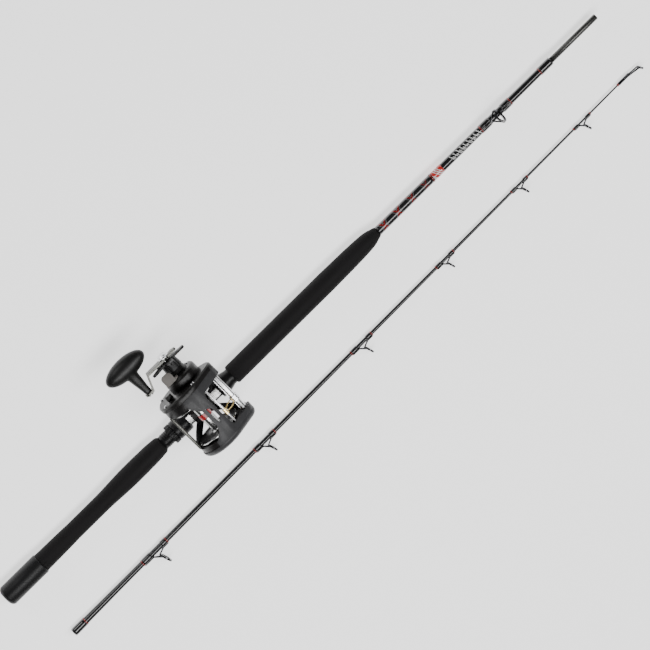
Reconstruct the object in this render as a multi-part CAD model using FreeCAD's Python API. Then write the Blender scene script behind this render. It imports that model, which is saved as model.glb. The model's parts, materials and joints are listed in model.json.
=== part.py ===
"""Two-piece boat fishing rod with a level-wind, star-drag reel, its sections lying side by side.

Millimetres. While it is modelled, +X runs from the butt cap to the tip along the butt section's
axis, +Y points to the reel's handle side and +Z points up through the reel. At the end every
piece is shifted so that the origin is the middle of the base of the whole object's box.
"""
import FreeCAD, Part

import math
import os

Vector = FreeCAD.Vector
ORIGIN = Vector(0, 0, 0)
X_DIR = Vector(1, 0, 0)
Y_DIR = Vector(0, 1, 0)
Z_DIR = Vector(0, 0, 1)

# ---------------------------------------------------------------- clearances
RUNNING = 0.05            # radial, a shaft that turns in a bore
BODY_GAP = 0.3            # between faces of pieces that move past each other

# ---------------------------------------------------------------- butt section, stations along X
CAP_LENGTH = 68.0
CAP_R = 15.2
CAP_DOME = 5.0
CAP_FLOOR = 12.0          # solid rubber under the blank's end
REAR_GRIP_END = 298.0
SEAT_END = 430.0
FORE_GRIP_END = 707.0
BUTT_END = 1037.0         # end of the butt blank
SPIGOT_OUT = 86.0         # spigot length that stands out
SPIGOT_IN = 48.0
SPIGOT_R = 4.1
SPIGOT_STEP = 0.3         # the glued end is this much thinner
SPIGOT_RELIEF = 0.6       # length of the thin neck that stands out of the blank
BLANK_R = 7.0
BLANK_TAPER_START = 560.0
BLANK_END_R = SPIGOT_R + 1.0

SEAT_R = 10.3
THREAD_START = 302.0
THREAD_END = 345.0
THREAD_PITCH = 3.0
THREAD_DEPTH = 0.55
SEAT_FLAT_Z = SEAT_R - 1.0
HOOD_WALL = 3.6
HOOD_R = SEAT_R + THREAD_DEPTH + RUNNING + HOOD_WALL
NUT_START = 313.5
NUT_LENGTH = 7.3
HOOD_LENGTH = 24.0
HOOD_WALL_FRONT = 12.0    # depth of each hood's pocket for the reel foot
HOOD_TRAVEL = 11.0
FIXED_HOOD_START = 403.0
FIXED_HOOD_FRONT_R = 11.8

WRAP_T = 0.5              # thickness of a thread wrap
TRIM_T = 0.65
TRIM_WIDTH = 1.6
DECOR_T = 0.35
DIAMOND_END = 810.0
LABEL_START = 812.6
LABEL_END = 830.6
SPIGOT_WRAP_START = BUTT_END - 22.0

# ---------------------------------------------------------------- guides: ring size, ring X, top edge, span
STRIPPER = (20.0, 933.0, 29.0, 905.0, 958.0)
TIP_GUIDES = [
    (16.0, 189.4, 26.0, 162.6, 206.2),
    (12.0, 399.5, 22.0, 379.8, 416.2),
    (12.0, 587.3, 20.8, 567.0, 604.0),
    (10.0, 748.4, 17.6, 731.8, 763.0),
    (10.0, 892.5, 17.6, 877.4, 906.0),
    (10.0, 1013.8, 17.0, 998.4, 1027.7),
]
GUIDE_WALL = 1.5          # radial wall of a guide's frame ring
INSERT_WALL = 1.2         # radial wall of the ceramic ring in it
GUIDE_WIDTH = 2.2
GUIDE_TILT = 16.0         # degrees, ring leans toward the tip
STRUT_R = 0.85
FOOT_WIDTH = 2.6
FOOT_HEIGHT = 1.0

# ---------------------------------------------------------------- tip section
TIP_START = 28.3
TIP_END = 1104.0
TIP_NOSE_R = 1.25
FERRULE_DEPTH = 88.0
FERRULE_FIT = 0.05        # radial, spigot in the ferrule
FERRULE_WALL = 0.72       # of the plain tube round the spigot
TIP_BUTT_R = SPIGOT_R + FERRULE_FIT + FERRULE_WALL
END_WRAP_LENGTH = 21.6
TIP_WALL = 1.3
TIP_TOP_START = 1085.0
TIP_TOP_R = 2.1
TIP_TOP_RING = 9.6        # outside diameter of the tip-top's ring
TIP_TOP_RING_X = 1121.5
TIP_TOP_DROP = 4.5        # the ring's centre, off the section's axis
TIP_Y_AT_BUTT = -105.3
TIP_YAW = 0.61            # degrees
TIP_END_TRIM_R = SPIGOT_R + FERRULE_FIT + TIP_WALL + TRIM_T - 0.1
TIP_AXIS_HEIGHT = TIP_END_TRIM_R    # above the floor, so that the open end rests on it
FIRST_GUIDE_OUTER = TIP_GUIDES[0][0] / 2 + GUIDE_WALL
FIRST_GUIDE_CENTRE = TIP_GUIDES[0][2] - FIRST_GUIDE_OUTER
# the first guide rests on the floor too, so its size sets how far the guides point above it
GUIDE_ROLL = math.degrees(math.asin((FIRST_GUIDE_OUTER - TIP_AXIS_HEIGHT) / FIRST_GUIDE_CENTRE))

# ---------------------------------------------------------------- reel
RING_R = 38.5
STAND_HEIGHT = 6.7        # seat flat to the underside of the rings
FOOT_T = 1.8
FOOT_HALF_WIDTH = 5.5     # of the tongues that go under the hoods
SADDLE_HALF = 18.0
SPOOL_X = 370.0
SPOOL_Z = SEAT_FLAT_Z + STAND_HEIGHT + RING_R
LOBE_R = 15.0
LOBE_X = SPOOL_X + RING_R - 0.5
LOBE_Z = SPOOL_Z + 3.0
COVER_T = 1.2             # grey top cover, over the rings
RING_WALL = 1.8
WEB = 2.0
HANDLE_FACE = 32.0        # inner face of the handle-side ring
HANDLE_RING_END = HANDLE_FACE + 12.0
SIDE_PLATE_END = HANDLE_RING_END + 8.0
SIDE_SCREW_ANGLES = (58.0, 146.0, 214.0, 264.0)
COVER_SCREW_ANGLES = (214.0, 340.0)
COVER_SCREW_R = 2.0
GEAR_COVER_END = SIDE_PLATE_END + 15.0
PALM_FACE = -27.0
PALM_RING_END = PALM_FACE - 8.0
PALM_PLATE_END = PALM_RING_END - 9.0
PALM_SHELL = 3.0
BRIDGE_T = 2.5            # radial thickness of the top bridge and of the stand's arms

FLANGE_INSET = 5.5        # ring's outside to the spool's flanges
SPOOL_FLANGE_R = RING_R - FLANGE_INSET
SPOOL_FLANGE_T = 2.0
SPOOL_GAP = 2.0           # flange to ring face
ARBOR_R = 8.5
LINE_PIN_WIDTH = 8.0
SPOOL_SHAFT_R = 2.5
PINION_SHAFT_R = 1.5

TUBE_R = 4.75
TUBE_X = LOBE_X + 5.7
TUBE_Z = LOBE_Z + 4.5
TUBE_WALL = 0.9
WORM_R = 2.9
WORM_PITCH = 4.2
GUIDE_ROD_R = 1.55
GUIDE_ROD_ANGLE = 48.55   # degrees above the rod's direction, seen from the spool axis
GUIDE_ROD_X = SPOOL_X + (SPOOL_FLANGE_R + GUIDE_ROD_R + 0.75) * math.cos(math.radians(GUIDE_ROD_ANGLE))
GUIDE_ROD_Z = SPOOL_Z + (SPOOL_FLANGE_R + GUIDE_ROD_R + 0.75) * math.sin(math.radians(GUIDE_ROD_ANGLE))
PILLAR_R = 2.3
PILLAR_RISE = 3.5
PILLAR_X = SPOOL_X - math.sqrt((RING_R - PILLAR_R - 0.05) ** 2 - PILLAR_RISE ** 2)
PILLAR_Z = SPOOL_Z + PILLAR_RISE

MAIN_TEETH = 54
PINION_TEETH = 11
MAIN_MODULE = 0.55
DRIVE_ANGLE = -38.0       # direction from the spool axis to the handle axis
LW_DRIVE_TEETH = 32
LW_WORM_TEETH = 16
LW_MODULE = 0.5
LW_SLACK = 1.04           # the gear train's reach, stretched out, over the distance it spans
BACKLASH = 0.16
PRESSURE_ANGLE = math.radians(20)

DRIVE_SHAFT_R = 3.0
ONE_WAY_R = 5.0
LEVER_SHAFT_R = 2.0
PALM_BEARING_R = 5.0
PALM_BEARING_T = 3.2
SPOOL_BEARING_R = 4.0
DOME_X = SPOOL_X + 13.5
DOME_Z = SPOOL_Z - 7.0
DOME_R = 24.5
DOME_WALL = 2.5
BOSS_R = 12.5
BOSS_END = GEAR_COVER_END + 7.0
STAR_HUB_R = 13.3
STAR_PLATE_Y = BOSS_END + 13.0
STAR_PLATE_T = 3.0
STAR_ARM_R = 30.5
STAR_TURN = 8.0           # degrees, direction of one arm
ARM_Y = STAR_PLATE_Y + STAR_PLATE_T + 2.0
DRIVE_SHAFT_END = ARM_Y + 6.0
ARM_T = 3.2
ARM_WIDTH = 15.0
ARM_LENGTH = 46.6
ARM_CRANK = 20.0
ARM_TAIL = 20.0
ARM_BEND_START = 31.0
ARM_BEND_END = 39.5
KNOB_END = ARM_Y + 44.0
KNOB_PIN_END = ARM_Y + 12.0
KNOB_LENGTH = 66.5
KNOB_THICK = 25.0
KNOB_DEEP = 30.0
KNOB_PIN_R = 2.5
PIN_CAP_R = 4.0
LEVER_X = DOME_X - 6.5
LEVER_Z = DOME_Z + 15.0
LEVER_TAB_X = LEVER_X - 8.0
LEVER_TAB_Z = LEVER_Z + 5.0
LEVER_TAB_REACH = 16.0
THUMB_X = SPOOL_X - 17.5
THUMB_Z = SPOOL_Z + 11.5
THUMB_R = 5.0
THUMB_END = SIDE_PLATE_END + 8.0
CLUTCH_TRAVEL = 2.0
PINION_START = HANDLE_FACE + 6.0
PINION_LENGTH = 8.8
COLLAR_GAP = 2.4          # between the pinion's teeth and its collar
NECK_R = 2.4
MAIN_GEAR_Y = PINION_START + 2.0
MAIN_GEAR_T = 4.0
DRAG_WASHER_T = 1.1
SPOOL_BEARING_Y = GEAR_COVER_END - 7.5
SPOOL_BEARING_T = 2.8
YOKE_POST_R = 1.2
YOKE_POST_REACH = 9.0     # from the spool axis, square to the line to the housing's centre
YOKE_Y = PINION_START + PINION_LENGTH + 0.4
YOKE_T = COLLAR_GAP - 0.8
YOKE_POST_END = YOKE_Y + YOKE_T + CLUTCH_TRAVEL + 2.8
LINE_GUIDE_Y = -8.0
LINE_GUIDE_WIDTH = 9.2
LINE_GUIDE_STOP = 0.4     # left between the loop and a spool flange at each end of its travel
WIRE_R = 0.9
BUTTON_TRAVEL = 6.0
BUTTON_Z = SPOOL_Z - 12.5

POCKET_HALF = FOOT_HALF_WIDTH + 0.5
POCKET_TOP = SEAT_FLAT_Z + FOOT_T + 0.6

DRIVE_DISTANCE = MAIN_MODULE * (MAIN_TEETH + PINION_TEETH) / 2
DRIVE_X = SPOOL_X + DRIVE_DISTANCE * math.cos(math.radians(DRIVE_ANGLE))
DRIVE_Z = SPOOL_Z + DRIVE_DISTANCE * math.sin(math.radians(DRIVE_ANGLE))
KNOB_X = DRIVE_X - ARM_LENGTH
LW_SPAN = math.hypot(TUBE_X - DRIVE_X, TUBE_Z - DRIVE_Z)
LW_IDLER_TEETH = math.ceil(LW_SPAN * LW_SLACK / LW_MODULE - (LW_DRIVE_TEETH + LW_WORM_TEETH) / 2)

parts = {}


# ---------------------------------------------------------------- shape helpers
def cylinder(radius, start, end):
    """A round bar between two points."""
    return Part.makeCylinder(radius, (end - start).Length, start, end - start)


def cone(r_start, r_end, start, end):
    """A tapered bar between two points."""
    return Part.makeCone(r_start, r_end, (end - start).Length, start, end - start)


def along_x(radius, x0, x1, y=0.0, z=0.0):
    return cylinder(radius, Vector(x0, y, z), Vector(x1, y, z))


def disc(radius, y0, y1, x, z):
    """A round plate whose axis runs along Y."""
    return cylinder(radius, Vector(x, y0, z), Vector(x, y1, z))


def washer(r_out, r_in, y0, y1, x, z):
    return disc(r_out, y0, y1, x, z).cut(disc(r_in, y0 - 1, y1 + 1, x, z))


def block(x0, x1, y0, y1, z0, z1):
    return Part.makeBox(x1 - x0, y1 - y0, z1 - z0, Vector(x0, y0, z0))


def fused(shapes):
    """One solid from pieces that touch or overlap."""
    whole = shapes[0]
    for shape in shapes[1:]:
        whole = whole.fuse(shape)
    return whole.removeSplitter()


def turned(runs, bore):
    """A body of revolution about X. A run of two points is straight; a longer one is a curve."""
    edges = []
    for run in runs:
        points = [Vector(x, 0, radius) for x, radius in run]
        if len(points) == 2:
            edges.append(Part.LineSegment(points[0], points[1]).toShape())
        else:
            curve = Part.BSplineCurve()
            curve.interpolate(points)
            edges.append(curve.toShape())
    first = Vector(runs[0][0][0], 0, runs[0][0][1])
    last = Vector(runs[-1][-1][0], 0, runs[-1][-1][1])
    low_last = Vector(last.x, 0, bore)
    low_first = Vector(first.x, 0, bore)
    edges.append(Part.LineSegment(last, low_last).toShape())
    edges.append(Part.LineSegment(low_last, low_first).toShape())
    edges.append(Part.LineSegment(low_first, first).toShape())
    face = Part.Face(Part.Wire(edges))
    return face.revolve(ORIGIN, X_DIR, 360)


def plan_prism(points, z0, z1):
    """A prism with an outline given in X and Y."""
    corners = [Vector(x, y, z0) for x, y in points]
    face = Part.Face(Part.makePolygon(corners + corners[:1]))
    return face.extrude(Vector(0, 0, z1 - z0))


def side_prism(points, y0, y1):
    """A prism with an outline given in X and Z, running along Y."""
    corners = [Vector(x, y0, z) for x, z in points]
    face = Part.Face(Part.makePolygon(corners + corners[:1]))
    return face.extrude(Vector(0, y1 - y0, 0))


def teardrop(inset, y0, y1):
    """The reel's side outline, as a plate: a large circle and the front lobe, joined by tangents."""
    span = math.hypot(LOBE_X - SPOOL_X, LOBE_Z - SPOOL_Z)
    heading = math.atan2(LOBE_Z - SPOOL_Z, LOBE_X - SPOOL_X)
    spread = math.acos((RING_R - LOBE_R) / span)

    def at(cx, cz, radius, angle):
        return Vector(cx + radius * math.cos(angle), y0, cz + radius * math.sin(angle))

    big = RING_R - inset
    small = LOBE_R - inset
    big_top = at(SPOOL_X, SPOOL_Z, big, heading + spread)
    big_back = at(SPOOL_X, SPOOL_Z, big, heading + math.pi)
    big_low = at(SPOOL_X, SPOOL_Z, big, heading - spread)
    small_low = at(LOBE_X, LOBE_Z, small, heading - spread)
    small_front = at(LOBE_X, LOBE_Z, small, heading)
    small_top = at(LOBE_X, LOBE_Z, small, heading + spread)
    wire = Part.Wire([
        Part.Arc(big_top, big_back, big_low).toShape(),
        Part.LineSegment(big_low, small_low).toShape(),
        Part.Arc(small_low, small_front, small_top).toShape(),
        Part.LineSegment(small_top, big_top).toShape(),
    ])
    return Part.Face(wire).extrude(Vector(0, y1 - y0, 0))


def teardrop_shell(outset, thickness, y0, y1):
    return teardrop(outset, y0, y1).cut(teardrop(outset + thickness, y0 - 1, y1 + 1))


def gear_outline(teeth, module, phase, x, z, y):
    """Corner points of an involute gear; phase is the angle of one tooth's centre, in X and Z."""
    pitch_r = teeth * module / 2
    base_r = pitch_r * math.cos(PRESSURE_ANGLE)
    tip_r = pitch_r + 0.85 * module
    root_r = pitch_r - 1.15 * module
    inv_pitch = math.tan(PRESSURE_ANGLE) - PRESSURE_ANGLE
    half_pitch = math.pi / (2 * teeth) - BACKLASH / (2 * pitch_r)
    flank_r = [max(base_r, root_r), pitch_r, (pitch_r + tip_r) / 2, tip_r]
    flank = [(root_r, half_pitch + inv_pitch)]
    for radius in flank_r:
        alpha = math.acos(min(1.0, base_r / radius))
        flank.append((radius, half_pitch + inv_pitch - (math.tan(alpha) - alpha)))
    if flank[0][0] > flank[1][0] - 0.01:
        flank = flank[1:]
    points = []
    for tooth in range(teeth):
        middle = phase + tooth * 2 * math.pi / teeth
        for radius, half in flank:
            points.append((radius, middle - half))
        for radius, half in reversed(flank):
            points.append((radius, middle + half))
    return [Vector(x + r * math.cos(a), y, z + r * math.sin(a)) for r, a in points]


def gear(teeth, module, phase, x, z, y0, y1, bore):
    corners = gear_outline(teeth, module, phase, x, z, y0)
    face = Part.Face(Part.makePolygon(corners + corners[:1]))
    blank = face.extrude(Vector(0, y1 - y0, 0))
    return blank.cut(disc(bore, y0 - 1, y1 + 1, x, z))


def meshing_phase(teeth_a, phase_a, teeth_b, direction):
    """Tooth angle of gear B that puts its gap on gear A's tooth, B lying in that direction from A."""
    gap = direction + math.pi - (teeth_a / teeth_b) * (phase_a - direction)
    return gap + math.pi / teeth_b


def knurled(shape, count, radius, groove_r, y0, y1, x, z):
    """Grooves along Y around a round head."""
    for index in range(count):
        angle = 2 * math.pi * index / count
        gx = x + radius * math.cos(angle)
        gz = z + radius * math.sin(angle)
        shape = shape.cut(disc(groove_r, y0 - 1, y1 + 1, gx, gz))
    return shape


def blank_radius(x):
    """Outer radius of the butt blank at a station."""
    if x <= BLANK_TAPER_START:
        return BLANK_R
    share = (x - BLANK_TAPER_START) / (BUTT_END - BLANK_TAPER_START)
    return BLANK_R + share * (BLANK_END_R - BLANK_R)


def tip_radius(x):
    """Outer radius of the tip blank at a station."""
    share = (x - TIP_START) / (TIP_TOP_START - TIP_START)
    return TIP_BUTT_R + share * (TIP_NOSE_R - TIP_BUTT_R)


def sleeve(radius_at, x0, x1, thickness):
    """A close sleeve on a tapered blank."""
    outer = cone(radius_at(x0) + thickness, radius_at(x1) + thickness, Vector(x0, 0, 0), Vector(x1, 0, 0))
    inner = cone(radius_at(x0), radius_at(x1), Vector(x0, 0, 0), Vector(x1, 0, 0))
    return outer.cut(inner)


# ---------------------------------------------------------------- guides
def guide_foot(radius_at, near, far):
    """A tapering foot that lies on the blank from its leg to its toe."""
    base = radius_at(near)
    low = min(radius_at(near), radius_at(far)) - 1.0
    top = base + FOOT_HEIGHT
    half = FOOT_WIDTH / 2
    outline = [(near, low), (far, low), (far, radius_at(far) + 0.35), (near, top)]
    foot = side_prism(outline, -half, half)
    x0 = min(near, far) - 1
    x1 = max(near, far) + 1
    return foot.cut(cone(radius_at(x0), radius_at(x1), Vector(x0, 0, 0), Vector(x1, 0, 0)))


def guide_pieces(spec, radius_at):
    """Frame and ceramic ring of one double-foot guide that points along +Z."""
    size, ring_x, top_edge, span_start, span_end = spec
    outer = size / 2 + GUIDE_WALL
    centre = Vector(ring_x, 0, top_edge - outer)
    tilt = math.radians(GUIDE_TILT)
    normal = Vector(math.cos(tilt), 0, -math.sin(tilt))
    up = Vector(math.sin(tilt), 0, math.cos(tilt))
    half = GUIDE_WIDTH / 2
    back = centre - normal * half
    front = centre + normal * half
    ring = cylinder(outer, back, front).cut(cylinder(size / 2, back - normal, front + normal))
    insert_bore = size / 2 - INSERT_WALL
    insert = cylinder(size / 2, back - normal * 0.3, front + normal * 0.3)
    insert = insert.cut(cylinder(insert_bore, back - normal, front + normal))
    rear_near = ring_x - (ring_x - span_start) * 0.42
    front_near = ring_x + (span_end - ring_x) * 0.42
    rear_foot = guide_foot(radius_at, rear_near, span_start + 2.5)
    front_foot = guide_foot(radius_at, front_near, span_end - 2.5)
    rear_top = Vector(rear_near, 0, radius_at(rear_near) + FOOT_HEIGHT - 0.4)
    front_top = Vector(front_near, 0, radius_at(front_near) + FOOT_HEIGHT - 0.4)
    mid_wall = size / 2 + GUIDE_WALL / 2
    bottom = centre - up * mid_wall
    struts = [cylinder(STRUT_R, front_top, bottom)]
    for side in (-1, 1):
        grip = centre + Vector(0, side * mid_wall * math.cos(0.35), 0) - up * mid_wall * math.sin(0.35)
        struts.append(cylinder(STRUT_R, rear_top, grip))
    knuckles = [Part.makeSphere(STRUT_R, point) for point in (rear_top, front_top)]
    keep_out = cylinder(size / 2, back - normal * 4, front + normal * 4)
    blank = cone(radius_at(span_start), radius_at(span_end), Vector(span_start, 0, 0), Vector(span_end, 0, 0))
    legs = fused(struts + knuckles).cut(keep_out).cut(blank)
    frame = fused([ring, rear_foot, front_foot, legs])
    return frame, insert


def guide_wraps(spec, radius_at, frame):
    """The two thread wraps over a guide's feet."""
    size, ring_x, top_edge, span_start, span_end = spec
    wraps = []
    for start, end in ((span_start, ring_x - (ring_x - span_start) * 0.36),
                       (ring_x + (span_end - ring_x) * 0.36, span_end)):
        near = end if start == span_start else start
        shift = 2.2 if start == span_start else -2.2
        edge = near - shift
        x0 = min(start, edge) if start == span_start else edge
        x1 = edge if start == span_start else end
        outer = cone(radius_at(x0) + WRAP_T, radius_at(x1) + WRAP_T, Vector(x0, 0, 0), Vector(x1, 0, 0))
        bump_r = FOOT_WIDTH / 2 + 0.75
        lift = max(radius_at(x0), radius_at(x1)) + FOOT_HEIGHT + WRAP_T - bump_r
        bump = along_x(bump_r, x0, x1, 0, lift)
        inner = cone(radius_at(x0), radius_at(x1), Vector(x0, 0, 0), Vector(x1, 0, 0))
        wraps.append(fused([outer, bump]).cut(inner).cut(frame))
    return wraps


def largest_solid(shape):
    """Drops slivers that a cut leaves beside the real piece."""
    return max(shape.Solids, key=lambda solid: solid.Volume)


# ---------------------------------------------------------------- butt section
def make_butt_section():
    blank = along_x(BLANK_R, CAP_FLOOR, BLANK_TAPER_START)
    taper = cone(BLANK_R, BLANK_END_R, Vector(BLANK_TAPER_START, 0, 0), Vector(BUTT_END, 0, 0))
    blank = blank.fuse(taper)
    bore = SPIGOT_R - SPIGOT_STEP
    parts["butt_blank"] = blank.cut(along_x(bore, CAP_FLOOR - 1, BUTT_END + 1)).removeSplitter()

    cap_runs = [
        [(0.0, CAP_R - CAP_DOME), (1.2, CAP_R - 2.6), (CAP_DOME, CAP_R)],
        [(CAP_DOME, CAP_R), (CAP_LENGTH - 1.5, CAP_R)],
        [(CAP_LENGTH - 1.5, CAP_R), (CAP_LENGTH, CAP_R - 1.0)],
    ]
    cap = turned(cap_runs, 0.0)
    parts["butt_cap"] = cap.cut(along_x(BLANK_R, CAP_FLOOR, CAP_LENGTH + 1))

    rear_runs = [
        [(CAP_LENGTH, 13.9), (84.0, 13.6), (110.0, 13.2), (128.0, 12.6)],
        [(128.0, 12.6), (182.0, 12.6)],
        [(182.0, 12.6), (200.0, 13.2), (215.0, 13.95), (236.0, 14.65)],
        [(236.0, 14.65), (258.0, 14.65)],
        [(258.0, 14.65), (275.0, 14.3), (291.0, 13.2), (REAR_GRIP_END - 1.5, 12.0), (REAR_GRIP_END, 10.8)],
    ]
    parts["rear_grip"] = turned(rear_runs, BLANK_R)

    fore_runs = [
        [(SEAT_END, 13.4), (431.5, 14.3), (434.0, 14.65)],
        [(434.0, 14.65), (612.0, 14.65)],
        [(612.0, 14.65), (628.0, 14.3), (650.0, 13.95), (672.0, 13.2), (683.0, 12.6), (694.0, 11.2),
         (701.0, 9.2), (FORE_GRIP_END, 7.4)],
    ]
    parts["fore_grip"] = turned(fore_runs, BLANK_R)

    spigot_end = BUTT_END + SPIGOT_OUT
    neck = along_x(bore, BUTT_END - SPIGOT_IN, BUTT_END + SPIGOT_RELIEF)
    spigot = fused([neck, along_x(SPIGOT_R, BUTT_END + SPIGOT_RELIEF, spigot_end)])
    tip_edge = [edge for edge in spigot.Edges if abs(edge.CenterOfMass.x - spigot_end) < 0.01]
    parts["ferrule_spigot"] = spigot.makeChamfer(0.6, tip_edge)

    make_reel_seat()
    parts["decorative_wraps"] = Part.makeCompound([
        sleeve(blank_radius, FORE_GRIP_END, DIAMOND_END, DECOR_T),
        sleeve(blank_radius, LABEL_START, LABEL_END, DECOR_T),
    ])

    frame, insert = guide_pieces(STRIPPER, blank_radius)
    parts["stripper_guide_frame"] = frame
    parts["stripper_guide_ring"] = insert
    wraps = guide_wraps(STRIPPER, blank_radius, frame)
    wraps.append(sleeve(blank_radius, SPIGOT_WRAP_START + TRIM_WIDTH, BUTT_END, WRAP_T))
    parts["butt_thread_wraps"] = Part.makeCompound([largest_solid(wrap) for wrap in wraps])
    trims = []
    for start in (STRIPPER[3] - TRIM_WIDTH, STRIPPER[4], SPIGOT_WRAP_START, DIAMOND_END):
        trims.append(sleeve(blank_radius, start, start + TRIM_WIDTH, TRIM_T))
    parts["butt_trim_bands"] = Part.makeCompound(trims)


def make_reel_seat():
    crest = SEAT_R + THREAD_DEPTH
    thread_runs = [[(REAR_GRIP_END, SEAT_R), (THREAD_START, SEAT_R)]]
    x = THREAD_START
    while x + THREAD_PITCH <= THREAD_END + 0.01:
        thread_runs.append([(x, SEAT_R), (x + 0.8, crest)])
        thread_runs.append([(x + 0.8, crest), (x + THREAD_PITCH - 1.0, crest)])
        thread_runs.append([(x + THREAD_PITCH - 1.0, crest), (x + THREAD_PITCH - 0.2, SEAT_R)])
        thread_runs.append([(x + THREAD_PITCH - 0.2, SEAT_R), (x + THREAD_PITCH, SEAT_R)])
        x += THREAD_PITCH
    thread_runs.append([(x, SEAT_R), (SEAT_END, SEAT_R)])
    seat = turned(thread_runs, BLANK_R)
    hood_start = NUT_START + NUT_LENGTH
    hood_end = hood_start + HOOD_LENGTH
    foot_start = hood_end - HOOD_WALL_FRONT
    foot_end = FIXED_HOOD_START + HOOD_WALL_FRONT
    parts["reel_seat"] = seat.cut(block(foot_start - 1, foot_end, -SEAT_R, SEAT_R, SEAT_FLAT_Z, HOOD_R))

    bore = crest + RUNNING
    pocket = block(foot_start - 0.5, hood_end + 1, -POCKET_HALF, POCKET_HALF, SEAT_FLAT_Z - 0.2, POCKET_TOP)
    hood_runs = [
        [(hood_start, HOOD_R - 1.4), (hood_start + 1.4, HOOD_R - 0.4), (hood_start + 4.0, HOOD_R)],
        [(hood_start + 4.0, HOOD_R), (hood_end - 2.0, HOOD_R)],
        [(hood_end - 2.0, HOOD_R), (hood_end, HOOD_R - 1.5)],
    ]
    parts["sliding_hood"] = turned(hood_runs, bore).cut(pocket)

    nut_end = NUT_START + NUT_LENGTH
    nut = along_x(HOOD_R, NUT_START, nut_end - 0.05).cut(along_x(bore, NUT_START - 1, nut_end + 1))
    grooves = 20
    for index in range(grooves):
        angle = 2 * math.pi * index / grooves
        y = (HOOD_R + 0.7) * math.cos(angle)
        z = (HOOD_R + 0.7) * math.sin(angle)
        nut = nut.cut(along_x(1.3, NUT_START - 1, nut_end + 1, y, z))
    parts["seat_lock_nut"] = nut

    fixed_runs = [
        [(FIXED_HOOD_START, HOOD_R), (FIXED_HOOD_START + 6.0, HOOD_R + 0.4),
         (FIXED_HOOD_START + 12.0, HOOD_R)],
        [(FIXED_HOOD_START + 12.0, HOOD_R), (SEAT_END - 4.0, FIXED_HOOD_FRONT_R)],
        [(SEAT_END - 4.0, FIXED_HOOD_FRONT_R), (SEAT_END, FIXED_HOOD_FRONT_R)],
    ]
    front_pocket = block(FIXED_HOOD_START - 1, foot_end + 0.3, -POCKET_HALF, POCKET_HALF,
                         SEAT_FLAT_Z, POCKET_TOP)
    parts["fixed_hood"] = turned(fixed_runs, SEAT_R).cut(front_pocket)


# ---------------------------------------------------------------- tip section
def place_tip(shape):
    """Rolls the section so its guides lie toward -Y, then sets it down beside the butt section."""
    placed = shape.copy()
    placed.rotate(ORIGIN, X_DIR, 90.0 - GUIDE_ROLL)
    placed.rotate(ORIGIN, Z_DIR, TIP_YAW)
    placed.translate(Vector(0, TIP_Y_AT_BUTT, TIP_AXIS_HEIGHT - CAP_R))
    return placed


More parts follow.
